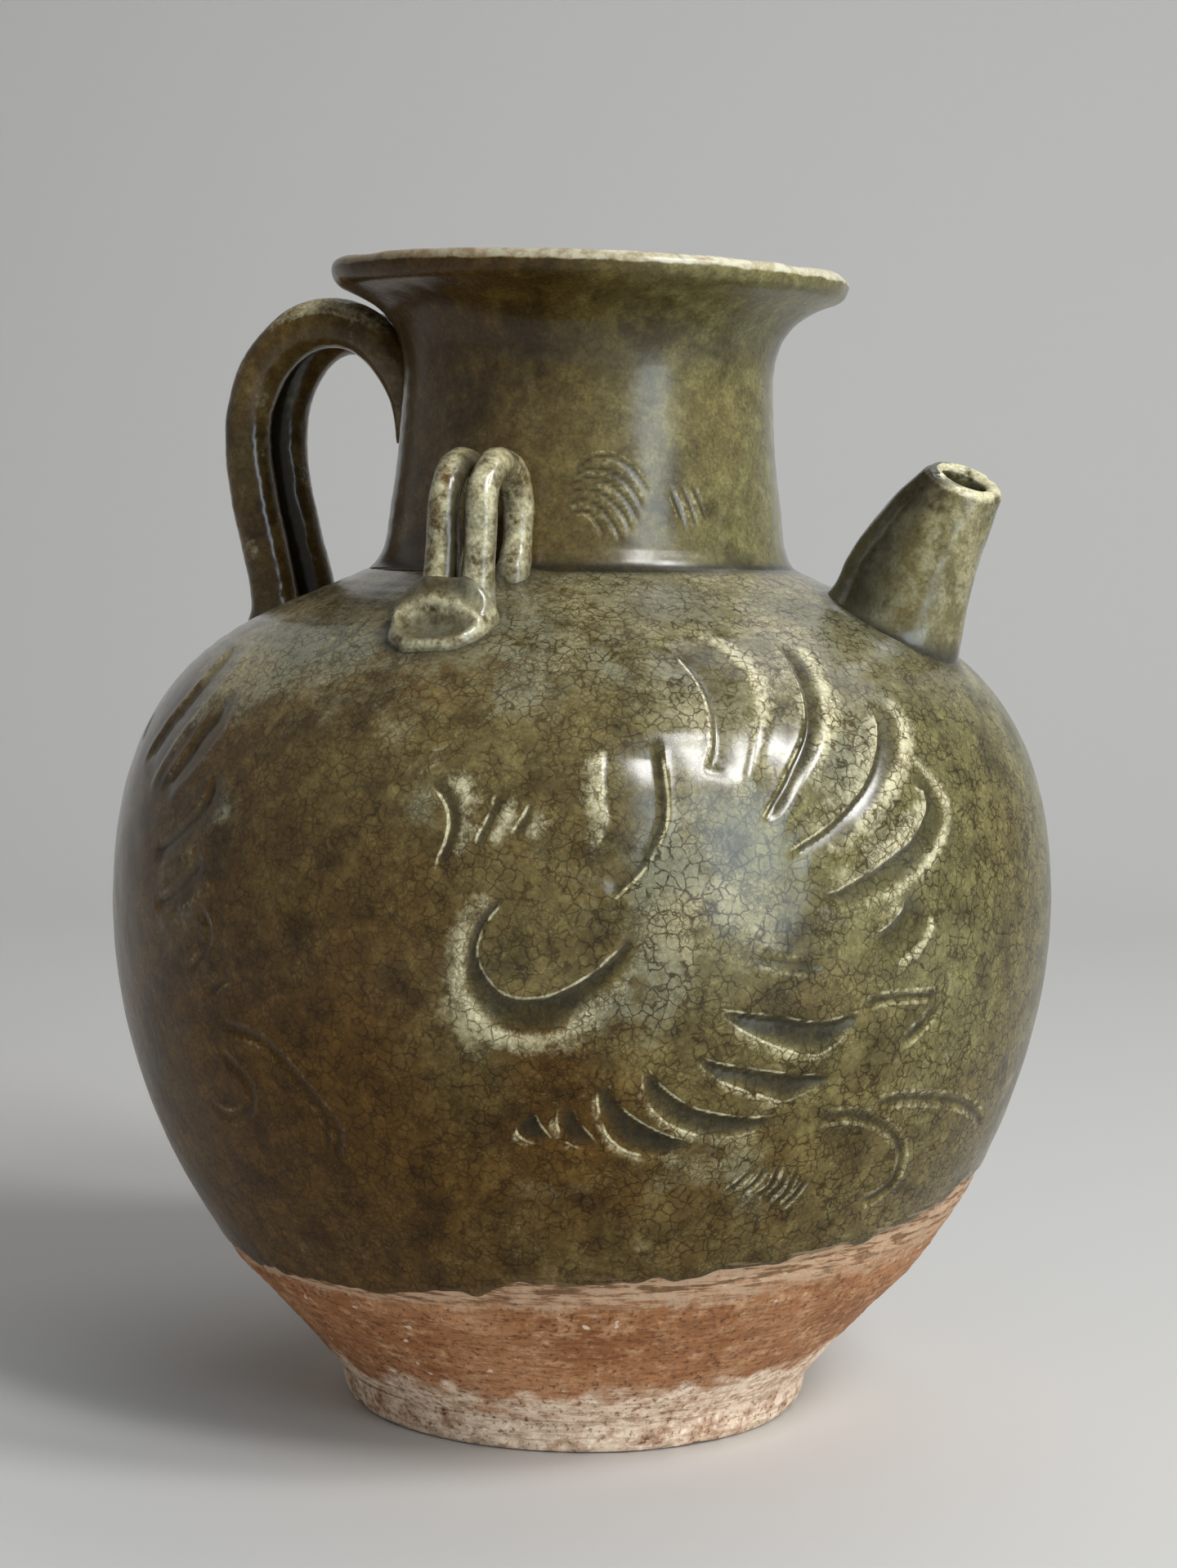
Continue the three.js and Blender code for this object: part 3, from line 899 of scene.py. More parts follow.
@dataclass(frozen=True)
class ClayFinish:
    """The bare clay, the pale wash brushed below the glaze, and the glaze inside."""

    wash: Colour = (0.62, 0.42, 0.27)
    stroke: Colour = (0.13, 0.075, 0.028)

    def made(self, layers: Tree, glaze: Tree) -> Material:
        """Builds the material.

        Args:
            layers: The shared layers of clay.
            glaze: The shared layers of glaze, used on the inside.

        Returns:
            The material.
        """
        coat = Coating("bare_clay")
        graph, place = coat.graph, coat.place
        foot, wash, inside = graph.stored("foot", "wash", "inside")
        clay = graph.group(layers, Place=place, Foot=foot)
        wash = wash + place.noise(2.6, 4, 0.6).swing(1.6)
        brushed = place.brushed(8.0, 7, 4, 0.65)
        washed = wash.step(-0.15, 0.25) * (0.85 - brushed.step(0.44, 0.56) * 0.65)
        strokes = brushed.step(0.50, 0.58) * wash.step(0.25, 0.7) * 0.75
        inner = graph.group(
            glaze, Place=place, Pool=0.1, Thin=0.0, Haze=0.25, Green=0.4, Crackle=0.4
        )
        colour = clay["Color"].mixed(washed, self.wash).mixed(strokes, self.stroke)
        colour = colour.mixed(inside, inner["Color"])
        return coat.finish(colour, clay["Roughness"] - inside * 0.45, clay["Height"], 0.9)


class Finishes:
    """The materials of all pieces, sharing the layers of glaze and of clay."""

    def __init__(self) -> None:
        """Builds every material."""
        layers = OliveGlaze().made(Crackle().made())
        self.glaze = CarvedGlaze().made(layers)
        self.neck = NeckGlaze().made(layers)
        self.clay = ClayFinish().made(BareClay().made(), layers)
        self.spout, self.handle, self.lug = (
            glaze.made(layers)
            for glaze in (
                PlainGlaze("spout_glaze", green=0.65, haze=0.40, tilt=3.0, streaks=0.9),
                PlainGlaze("handle_glaze", green=0.3, thin=0.5, tilt=2.0, crackle=0.2),
                PlainGlaze("lug_glaze", 0.62, 0.35, 0.48, 4.0, streaks=0.4, crackle=0.15),
            )
        )


# The thrown belly


@dataclass(frozen=True)
class BellyProfile:
    """The outline of the belly from the foot to the collar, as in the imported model."""

    foot_radius: float = 41.2
    seat_height: float = 5.5
    trim_radius: float = 59.6
    trim_height: float = 26.0
    trim_hollow: float = 0.8
    radius: float = 81.3
    height: float = 87.5
    collar_radius: float = 36.2
    collar_height: float = 145.1
    lower_fullness: float = 36.0
    upper_fullness: float = 44.6
    shoulder_run: float = 19.7
    shoulder_drop: float = 9.5
    under_neck: float = 3.0
    wall: float = 5.0
    floor: float = 12.0
    steps: int = 400

    def outline(self) -> Points:
        """The outer face, bottom to top: a trimmed cone, a lower curve and a shoulder.

        Past the collar it runs straight on for a little, under the foot of the neck.
        """
        middle = (
            (self.foot_radius + self.trim_radius) / 2 - self.trim_hollow,
            (self.seat_height + self.trim_height) / 2,
        )
        foot = (self.foot_radius, self.seat_height)
        trim = (self.trim_radius, self.trim_height)
        widest = (self.radius, self.height)
        collar = (self.collar_radius, self.collar_height)
        pulls = (
            tuple((end[i] + 2 * middle[i]) / 3 for i in (0, 1)) for end in (foot, trim)
        )
        cone = bezier((foot, *pulls, trim), self.steps // 4)
        lower = bezier(
            (trim, trim, (self.radius, self.height - self.lower_fullness), widest),
            self.steps,
        )
        shoulder = bezier(
            (
                widest,
                (self.radius, self.height + self.upper_fullness),
                (collar[0] + self.shoulder_run, collar[1] - self.shoulder_drop),
                collar,
            ),
            self.steps,
        )
        ahead = shoulder[-1] - shoulder[-2]
        ahead *= self.under_neck / np.linalg.norm(ahead)
        return np.vstack([joined(cone, lower, shoulder), shoulder[-1:] + ahead])

    def along(self, heights: Points) -> Points:
        """The distance along the outline at given heights."""
        line = self.outline()
        return np.interp(heights, line[:, 1], lengths_along(line))

    def at(self, distance: Points) -> tuple[Points, Points]:
        """The point and the outward direction at distances along the outline.

        Args:
            distance: Distances from the foot, of any shape.

        Returns:
            The points and the unit normals, each with a last axis of two.
        """
        line = self.outline()
        along = lengths_along(line)
        slope = np.gradient(line, along, axis=0)
        spot = np.stack([np.interp(distance, along, line[:, i]) for i in (0, 1)], -1)
        run = np.stack([np.interp(distance, along, slope[:, i]) for i in (0, 1)], -1)
        run /= np.linalg.norm(run, axis=-1, keepdims=True)
        return spot, np.stack([run[..., 1], -run[..., 0]], -1)

    def radius_at(self, height: Points) -> Points:
        """The outer radius at a height."""
        line = self.outline()
        return np.interp(height, line[:, 1], line[:, 0])

    def height_at(self, radius: Points) -> Points:
        """The height of the shoulder at a radius."""
        line = self.outline()
        line = line[line[:, 1] >= self.height][::-1]
        return np.interp(radius, line[:, 0], line[:, 1])


@dataclass(frozen=True)
class Flattened:
    """Part of the belly laid out flat round one azimuth: across and up, in millimetres."""

    profile: BellyProfile
    azimuth: float

    def place(self, azimuth: Points, height: Points) -> Points:
        """Where points lie on the flat sheet.

        Args:
            azimuth: Angles in degrees.
            height: Heights above the table.

        Returns:
            Points of (turn times radius, distance along the outline).
        """
        turn = np.radians(wrapped(azimuth - self.azimuth))
        return np.stack(
            [turn * self.profile.radius_at(height), self.profile.along(height)], -1
        )


def beside(points: Points, line: Points, reach: float = 6.0) -> tuple[Points, Points, float]:
    """How far points lie from a line on a flat sheet, and to which side.

    Args:
        points: The points, shape (n, 2).
        line: The line, shape (m, 2). It is carried straight on past its ends.
        reach: How far it is carried on.

    Returns:
        The signed distances, positive to the left of the line's run; the distances
        along the line where each point is nearest, negative before its start; and the
        line's own length.
    """
    first = line[0] - reach * (line[1] - line[0]) / np.linalg.norm(line[1] - line[0])
    last = line[-1] + reach * (line[-1] - line[-2]) / np.linalg.norm(line[-1] - line[-2])
    whole = np.vstack([first, line, last])
    start, step = whole[:-1], np.diff(whole, axis=0)
    size = np.maximum((step**2).sum(1), 1e-12)
    offset = points[:, None, :] - start[None]
    share = np.clip((offset * step).sum(-1) / size, 0, 1)
    apart = offset - share[..., None] * step
    distance = (apart**2).sum(-1)
    nearest = distance.argmin(1)
    row = np.arange(len(points))
    cross = step[nearest, 0] * apart[row, nearest, 1] - step[nearest, 1] * apart[row, nearest, 0]
    along = lengths_along(whole)[nearest] + share[row, nearest] * np.sqrt(size[nearest])
    signed = np.copysign(np.sqrt(distance[row, nearest]), cross)
    return signed, along - reach, float(lengths_along(line)[-1])


@dataclass(frozen=True)
class Cut:
    """One slanted cut of the carving: steep at its edge, rising slowly to its rim.

    Attributes:
        edge: The sharp edge, as azimuth in degrees and height in millimetres.
        rim: The far side, where the floor of the cut meets the surface again.
        depth: How deep it is beside the edge.
        crest: How far the clay stands up beyond the rim.
        band: How wide that ridge is.
        fade: The length over which both ends run out.
        dark: How dark the glaze lies in it, 0 to 1: partly pooled glaze, partly painted shade.
        even: How dark the middle of the floor is beside its deepest part.
        pale: How pale the glaze is along the rim, 0 to 1.
        spread: How far the paleness reaches beyond the rim.
        brow: How pale the surface before the edge is, 0 to 1.
        keen: How crisp the line along the edge is, 0 to 1.
        lined: True where the rim is a crisp line too.
        steep: The share of its width on which it falls to its full depth.
        slant: The power by which its floor rises again.
        dim: The share of its width from which the dark glaze and painted shade fade out.
        margin: How far beyond its lines it still changes the surface.
    """

    edge: Path
    rim: Path
    depth: float = 0.72
    crest: float = 0.22
    band: float = 3.4
    fade: float = 3.0
    dark: float = 0.85
    even: float = 0.75
    pale: float = 0.85
    spread: float = 2.7
    brow: float = 0.0
    keen: float = 1.0
    lined: bool = False
    steep: float = 0.16
    slant: float = 1.3
    dim: float = 0.62
    margin: float = 7.0

    def middle(self) -> float:
        """The azimuth of the cut's middle."""
        return float(np.mean([a for a, _ in self.edge + self.rim]))

    def carve(self, relief: "Relief", turn: float) -> None:
        """Adds the cut to the relief.

        Across the cut, with s the share of the way from edge to rim, the depth rises as
        1 - (1 - s/0.16)^2 to its full value and then falls as (1 - (s - 0.16)/0.84)^1.3.
        The dark, partly pooled glaze and partly painted shade, fades out between 0.62 and
        1 of the way, and the pale rim is a bell that is steeper on the side of the cut.

        Args:
            relief: The relief to change.
            turn: How far the motif is turned round the belly, in degrees.
        """
        sheet = Flattened(relief.profile, self.middle())
        lines = [sheet.place(*np.array(side, float).T) for side in (self.edge, self.rim)]
        edge, rim = (splined(line, 40) for line in lines)
        near, points = relief.near(sheet, turn, np.vstack([edge, rim]), self.margin)
        if not near.any():
            return
        from_edge, along, length = beside(points, edge)
        from_rim, _, _ = beside(points, rim)
        to_rim = beside(rim[len(rim) // 2][None], edge)[0][0]
        to_edge = beside(edge[len(edge) // 2][None], rim)[0][0]
        from_edge *= np.sign(to_rim)
        from_rim *= np.sign(to_edge)
        fade = min(self.fade, length / 3)
        ends = smoothstep(along, -0.3, fade) * smoothstep(length - along, -0.3, fade)
        width = np.maximum(from_edge + from_rim, 1e-6)
        share = np.clip(from_edge / width, 0, 1)
        fall = 1 - (1 - np.clip(share / self.steep, 0, 1)) ** 2
        gone = np.clip((share - self.steep) / (1 - self.steep), 0, 1)
        floor = (1 - gone) ** self.slant
        inside = (from_edge > 0) & (from_rim > 0)
        full = np.minimum(self.depth, 0.4 * width)
        depth = np.where(inside, full * fall * floor, 0) * ends
        beyond = np.clip(-from_rim / self.band, 0, 1)
        ridge = np.where(from_edge > 0, 6.75 * beyond * (1 - beyond) ** 2, 0)
        burr = np.where(from_edge < 0, bell(from_edge, 0.9), 0)
        relief.cut(near, depth, (ridge * self.crest + 0.1 * burr) * ends)
        # The valley's dark: partly glaze pooled in the cut, partly painted shade.
        vale = smoothstep(from_edge, 0, 0.35) * (1 - smoothstep(share, self.dim, 1.0))
        vale = vale * (1 - (1 - self.even) * smoothstep(share, 0.12, 0.5))
        past = -from_rim - 0.6
        rimmed = bell(past, np.where(past > 0, self.spread, 0.8)) * (from_edge > 0)
        before = bell(from_edge, 4.0) * (from_edge < 0)
        narrow = smoothstep(width, 0.6, 3.0)
        worn = 0.25 + 0.75 * smoothstep(length - along, 0, 0.6 * length)
        pale = np.maximum(self.pale * rimmed * (0.4 + 0.6 * narrow), self.brow * before)
        vale = self.dark * np.where(from_rim > 0, vale, 0) * ends
        relief.shade(near, vale, pale * ends * worn)
        relief.mark(near, from_edge, ends * self.keen)
        if self.lined:
            relief.mark(near, from_rim, 0.8 * ends * worn)


@dataclass(frozen=True)
class Incised:
    """A drawn line: a narrow groove with low shoulders, as a comb or a point leaves."""

    path: Path
    width: float = 0.5
    depth: float = 0.25
    shoulder: float = 0.08
    strength: float = 1.0

    def carve(self, relief: "Relief", turn: float) -> None:
        """Adds the line to the relief: a bell-shaped groove between two low ridges.

        Args:
            relief: The relief to change.
            turn: How far the motif is turned round the belly, in degrees.
        """
        sheet = Flattened(relief.profile, self.path[0][0])
        line = splined(sheet.place(*np.array(self.path, float).T), 30)
        near, points = relief.near(sheet, turn, line, 4.0)
        if not near.any():
            return
        apart, along, length = beside(points, line)
        fade = min(2.5, length / 3)
        ends = smoothstep(along, -0.3, fade) * smoothstep(length - along, -0.3, fade)
        across = apart / self.width
        depth = self.depth * bell(across, 1.0) * ends
        ridge = self.shoulder * np.exp(-((np.abs(across) - 1.5) ** 2) / 0.4) * ends
        relief.cut(near, depth, ridge)
        relief.score(near, apart * 0.5 / self.width, ends * self.strength)


@dataclass(frozen=True)
class Tone:
    """A soft patch where the glaze lies thicker (below 0) or thinner (above 0); the pale patches
    on the left shoulder are painted sheen.
    """

    azimuth: float
    height: float
    across: float
    tall: float
    amount: float

    def carve(self, relief: "Relief", turn: float) -> None:
        """Adds the patch to the relief's tones as a bell round its middle.

        Args:
            relief: The relief to change.
            turn: How far the motif is turned round the belly, in degrees.
        """
        sheet = Flattened(relief.profile, self.azimuth)
        spot = sheet.place(np.array([self.azimuth]), np.array([self.height]))
        reach = 2.2 * max(self.across, self.tall)
        near, points = relief.near(sheet, turn, spot, reach)
        apart = (points - spot) / (self.across, self.tall)
        relief.tone[near] += self.amount * np.exp(-(apart**2).sum(-1))


@dataclass(frozen=True)
class Seat:
    """Where another piece is luted to the shoulder: a fillet of slip and a dark pool.

    Attributes:
        azimuth: The azimuth of its middle, in degrees.
        reach: The radius of its middle.
        across: Half its width round the belly.
        long: Half its length up the slope.
        fillet: How high the slip stands against the piece.
        spread: How far the slip reaches.
        pool: How dark the glaze pools round it, 0 to 1.
    """

    azimuth: float
    reach: float
    across: float
    long: float
    fillet: float = 0.9
    spread: float = 1.4
    pool: float = 0.9

    def carve(self, relief: "Relief", turn: float) -> None:
        """Adds the fillet and the pool, both falling off like a bell with the distance.

        Args:
            relief: The relief to change.
            turn: How far the piece is turned round the belly, in degrees.
        """
        height = relief.profile.height_at(self.reach)
        sheet = Flattened(relief.profile, self.azimuth)
        spot = sheet.place(np.array([self.azimuth]), np.array([height]))
        near, points = relief.near(sheet, turn, spot, max(self.across, self.long) + 9)
        apart = (points - spot) / (self.across, self.long)
        out = np.linalg.norm(apart, axis=-1)
        distance = np.maximum(out - 1, 0) * min(self.across, self.long)
        rise = self.fillet * bell(distance, self.spread)
        relief.rise[near] = np.maximum(relief.rise[near], rise)
        dark = self.pool * np.exp(-((distance / (1.5 * self.spread)) ** 1.5))
        relief.pool[near] = np.maximum(relief.pool[near], dark)


@dataclass
class Relief:
    """What the carving, the seats and the glaze do to a patch of the belly's surface.

    Attributes:
        profile: The belly's outline.
        azimuth: The azimuths of the patch's points, in degrees.
        height: Their heights.
        far: The distance to a line that stands for far from any.
        full_depth: The depth of a cut that counts as full.
        faint: The strength below which a line doesn't count.
    """

    profile: BellyProfile
    azimuth: Points
    height: Points
    far: float = 4.0
    full_depth: float = 0.8
    faint: float = 0.02

    def __post_init__(self) -> None:
        """Starts with a smooth surface."""
        shape = self.azimuth.shape
        self.depth, self.crest, self.rise = (np.zeros(shape) for _ in range(3))
        self.tone, self.pool, self.vale = (np.zeros(shape) for _ in range(3))
        self.pale, self.sharp, self.scored = (np.zeros(shape) for _ in range(3))
        self.edge, self.groove = (np.full(shape, self.far) for _ in range(2))

    def near(
        self, sheet: Flattened, turn: float, line: Points, margin: float
    ) -> tuple[Points, Points]:
        """The points of the patch close to a line on a flat sheet.

        Args:
            sheet: The sheet that the line lies on.
            turn: How far the sheet is turned round the belly, in degrees.
            line: The line's points on the sheet.
            margin: How far round its box points still count.

        Returns:
            A mask over the patch, and the masked points' places on the sheet.
        """
        spots = sheet.place(self.azimuth - turn, self.height)
        low, high = line.min(0) - margin, line.max(0) + margin
        mask = ((spots > low) & (spots < high)).all(-1)
        return mask, spots[mask]

    def cut(self, near: Points, depth: Points, crest: Points) -> None:
        """Deepens the patch where a cut is deeper, and raises it where a ridge is higher."""
        self.depth[near] = np.maximum(self.depth[near], depth)
        self.crest[near] = np.maximum(self.crest[near], crest)

    def shade(self, near: Points, vale: Points, pale: Points) -> None:
        """Darkens the valley of a cut and lightens its rim."""
        self.vale[near] = np.maximum(self.vale[near], vale)
        self.pale[near] = np.maximum(self.pale[near], pale)

    def score(self, near: Points, apart: Points, strength: Points) -> None:
        """Keeps the distance to the closest drawn line and how strong it is."""
        closer = (np.abs(apart) < np.abs(self.groove[near])) & (strength > self.faint)
        self.groove[near] = np.where(closer, np.abs(apart), self.groove[near])
        self.scored[near] = np.where(closer, strength, self.scored[near])

    def mark(self, near: Points, from_edge: Points, ends: Points) -> None:
        """Keeps the distance to the closest sharp edge and how sharp it still is."""
        closer = (np.abs(from_edge) < np.abs(self.edge[near])) & (ends > self.faint)
        self.edge[near] = np.where(closer, from_edge, self.edge[near])
        self.sharp[near] = np.where(closer, ends, self.sharp[near])

    def values(self) -> dict[str, Points]:
        """The values that the glaze reads, by name."""
        names = ("vale", "pale", "tone", "edge", "sharp", "groove", "scored")
        kept = {name: getattr(self, name) for name in names}
        return {"depth": np.clip(self.depth / self.full_depth, 0, 1), **kept}

    def height_change(self) -> Points:
        """How far the surface moves outwards: ridges stand only where nothing is cut."""
        kept = 1 - smoothstep(self.depth, 0.0, 0.25)
        return self.crest * kept - self.depth + self.rise


# The carved motif on the front of the belly, repeated on the rear


FEATHERS = (
    Cut(
        ((-56.9, 134.2), (-55.6, 133.4), (-54.5, 131.6), (-53.4, 129.4), (-52.8, 126.8),
         (-52.7, 123.4), (-53.1, 119.6), (-54.4, 115.8)),
        ((-55.6, 135.3), (-52.1, 135.6), (-48.9, 134.3), (-47.4, 132.5), (-46.3, 130.7),
         (-45.7, 128.6), (-46.6, 124.5), (-48.9, 118.1)),
        depth=0.6,
        dark=0.4,
    ),
    Cut(
        ((-38, 134.5), (-38.1, 131.6), (-38.6, 128.5), (-39.3, 125.4), (-40.4, 122.3),
         (-42, 119.3), (-43.6, 116.7), (-45.4, 113.6), (-46.9, 110.9), (-48.2, 108.6)),
        ((-36.6, 135), (-35.2, 132.8), (-35.7, 129.2), (-36.9, 125.4), (-38.4, 121.7),
         (-40.1, 118.7), (-42, 115.9), (-44, 112.9), (-45.7, 110.1), (-47.5, 107.7)),
        brow=0.35,
    ),
    Cut(
        ((-29.7, 124.7), (-29.1, 123.3), (-30, 120.7), (-31.8, 117.1), (-34.1, 113.7),
         (-36.8, 110.7), (-40, 107.7), (-42.9, 105.5), (-45.4, 103.8)),
        ((-26, 125.1), (-25.6, 123.2), (-26.1, 120.5), (-28.2, 117), (-30.2, 114.4),
         (-32.8, 111.3), (-35.8, 108.6), (-39, 105.6), (-45.1, 102.3)),
        depth=0.6,
        brow=0.6,
    ),
    Cut(
        ((-27.1, 112.8), (-25.1, 112.2), (-25.1, 110), (-26.4, 107.4), (-28.7, 104.7),
         (-31.6, 102.7), (-34.8, 100.5), (-37, 99.3), (-39, 98.1), (-42.1, 97.2)),
        ((-23.4, 112.7), (-22.4, 110.7), (-22.5, 107.9), (-23.6, 105.3), (-26.1, 102.2),
         (-28.6, 100), (-31.6, 97.9), (-35, 96.8), (-37.6, 95.8), (-41.8, 96.3)),
        spread=1.2,
        brow=0.75,
    ),
    Cut(
        ((-29.2, 97.3), (-29.8, 96.5), (-30.7, 94.2), (-32.5, 92.1), (-35, 90.5)),
        ((-27.3, 97.7), (-26.7, 95.2), (-26.5, 92.4), (-27.4, 89.7), (-29.4, 87.5),
         (-32, 85.8)),
        spread=1.0,
        brow=0.4,
    ),
)
PETAL_AND_BOWL = (
    Cut(
        ((-59.2, 120.5), (-59, 116.6), (-58.8, 113.2), (-58.8, 110), (-59.2, 107.5),
         (-60.3, 104.3), (-61.8, 101.1), (-63.5, 98.8), (-65.1, 96.6)),
        ((-67.3, 122.3), (-65.9, 120.4), (-65.5, 118.4), (-65.6, 116.3), (-65.5, 111.6),
         (-65.3, 109.4), (-65.8, 106.7), (-66.6, 104.8), (-67.5, 102.3), (-69, 97.1)),
        dark=0.45,
        lined=True,
    ),
    Cut(
        ((-75.8, 97.2), (-77.4, 94.8), (-78.5, 92.1), (-79, 89.5), (-78.7, 87),
         (-77.7, 84.7), (-76.2, 82.8), (-74.4, 82.1), (-72.5, 82.3), (-70.7, 82.9),
         (-68.7, 84.4), (-66.6, 86.4), (-64.8, 88.7), (-63.7, 90.4), (-63.3, 92.5)),
        ((-77.2, 96.9), (-78.7, 94.6), (-79.9, 91.4), (-80.2, 89.1), (-80.2, 86.9),
         (-80, 83.8), (-79.3, 81.3), (-77.5, 78.1), (-74, 76.9), (-70.2, 77.4),
         (-67.7, 80.8), (-65.9, 83.2), (-64.3, 85.4), (-63, 88.1), (-62.2, 91.3)),
        dark=1.0,
        even=0.95,
    ),
    Cut(
        ((-85.2, 113.3), (-83.7, 111.5), (-82.8, 109.3), (-82.6, 107.1), (-82.9, 104.9),
         (-83.5, 102.6), (-83.8, 100.3)),
        ((-83.7, 113.9), (-82.4, 112.6), (-81.6, 110.7), (-81.2, 108.1), (-81.6, 105.6),
         (-82.3, 103), (-83.3, 99.9)),
        depth=0.55,
    ),
    Cut(
        ((-77.4, 113.5), (-77.9, 110.8), (-78.6, 108.2), (-79.4, 105.7), (-79.8, 102.8)),
        ((-76.8, 113.4), (-76.8, 110.7), (-77.5, 107.9), (-78.5, 105.3), (-79.4, 102.6)),
        depth=0.4,
    ),
    Cut(
        ((-73.7, 111.4), (-74.5, 109.1), (-75.4, 107.1), (-76.2, 105.6)),
        ((-73.2, 110.9), (-73.6, 108.6), (-74.6, 106.5), (-75.8, 105)),
        depth=0.4,
    ),
)
TAIL_SHADES = {"dark": 1.0, "even": 1.0, "pale": 0.4, "spread": 0.8, "lined": True}
TAIL = (
    Cut(
        ((-74, 65.1), (-72.8, 64.1), (-72.1, 62.3), (-70.6, 59.9)),
        ((-74.7, 64.5), (-74.8, 61.6), (-73.6, 60), (-70.6, 59.2)),
        depth=0.5,
        **TAIL_SHADES,
    ),
    Cut(
        ((-69.4, 66.6), (-68.6, 65.2), (-67.9, 63.1), (-66.6, 60.9), (-65.5, 59.2)),
        ((-69.8, 66.5), (-70.2, 64.5), (-70.1, 62.1), (-68.9, 59.7), (-65.7, 58.4)),
        depth=0.6,
        **TAIL_SHADES,
    ),
    Cut(
        ((-65.4, 70.2), (-64.9, 69.5), (-64.2, 67.3), (-62.7, 64.7), (-60.3, 62.5),
         (-57.7, 60.8), (-54.9, 59.7)),
        ((-65.9, 70), (-65.9, 67.3), (-65.5, 64.2), (-64.5, 60.9), (-62.2, 58.5),
         (-58.6, 57.8), (-54.8, 59)),
        **TAIL_SHADES,
    ),
    Cut(
        ((-60.8, 72), (-59.5, 69.5), (-57.6, 67.2), (-55.2, 65.3), (-52.1, 64.1),
         (-48.6, 63.4), (-45.1, 63.4)),
        ((-61.1, 71.5), (-60.9, 68.3), (-60, 65.6), (-57.8, 62.9), (-54.3, 61),
         (-49.6, 60.7), (-45, 62.7)),
        **TAIL_SHADES,
    ),
    Cut(
        ((-55.9, 73.8), (-53, 72.3), (-49.6, 71.4), (-46.3, 70.5), (-42.2, 69.7),
         (-38, 69.7)),
        ((-55.7, 73.2), (-52.6, 69.7), (-48.1, 67.3), (-44.7, 65.9), (-41.7, 67.2),
         (-38.2, 69.1)),
        **TAIL_SHADES,
    ),
    Cut(
        ((-53.3, 80.6), (-49.6, 79.8), (-46.4, 79.3), (-42.7, 78.1), (-39, 78.3),
         (-35.7, 79.3)),
        ((-52.9, 79.9), (-50, 77.1), (-45.8, 74.4), (-41.2, 73), (-38.2, 75.3),
         (-35.9, 78.5)),
        **TAIL_SHADES,
    ),
)
LEAF_SHADES = {"dark": 0.6, "pale": 0.25, "keen": 0.2}
LEAF = (
    Cut(
        ((-134.1, 131.2), (-133.2, 128.4), (-132.6, 124.2), (-134.7, 118.8),
         (-137.4, 112.3)),
        ((-127.4, 130.4), (-125.6, 127.3), (-126, 122.9), (-128.3, 117.9),
         (-130.9, 111.7)),
        depth=0.6,
        **LEAF_SHADES,
    ),
    Cut(
        ((-123.6, 123.9), (-122.5, 121.1), (-123.7, 118.6), (-124.3, 116),
         (-126.1, 112.5), (-128, 109.1)),
        ((-119, 123.4), (-118, 120.4), (-118.7, 117.5), (-120.1, 114.7), (-122.2, 111.7),
         (-124.9, 108.7)),
        **LEAF_SHADES,
    ),
    Cut(
        ((-116.8, 112.8), (-117.1, 110.2), (-118.3, 106.8), (-120.6, 104.4),
         (-123.2, 102), (-126.7, 99.3)),
        ((-114.8, 111.9), (-113.9, 107.8), (-114.8, 105.2), (-116.5, 102.9),
         (-119.3, 100.5), (-123.5, 97.9)),
        **LEAF_SHADES,
    ),
    Cut(
        ((-116.1, 100.5), (-117.5, 98.3), (-120, 95.4), (-122.4, 93.1), (-125.7, 91.3)),
        ((-114.5, 100), (-114.4, 97.7), (-115.3, 95.5), (-117.7, 92.8), (-121.8, 90.4)),
        **LEAF_SHADES,
    ),
)
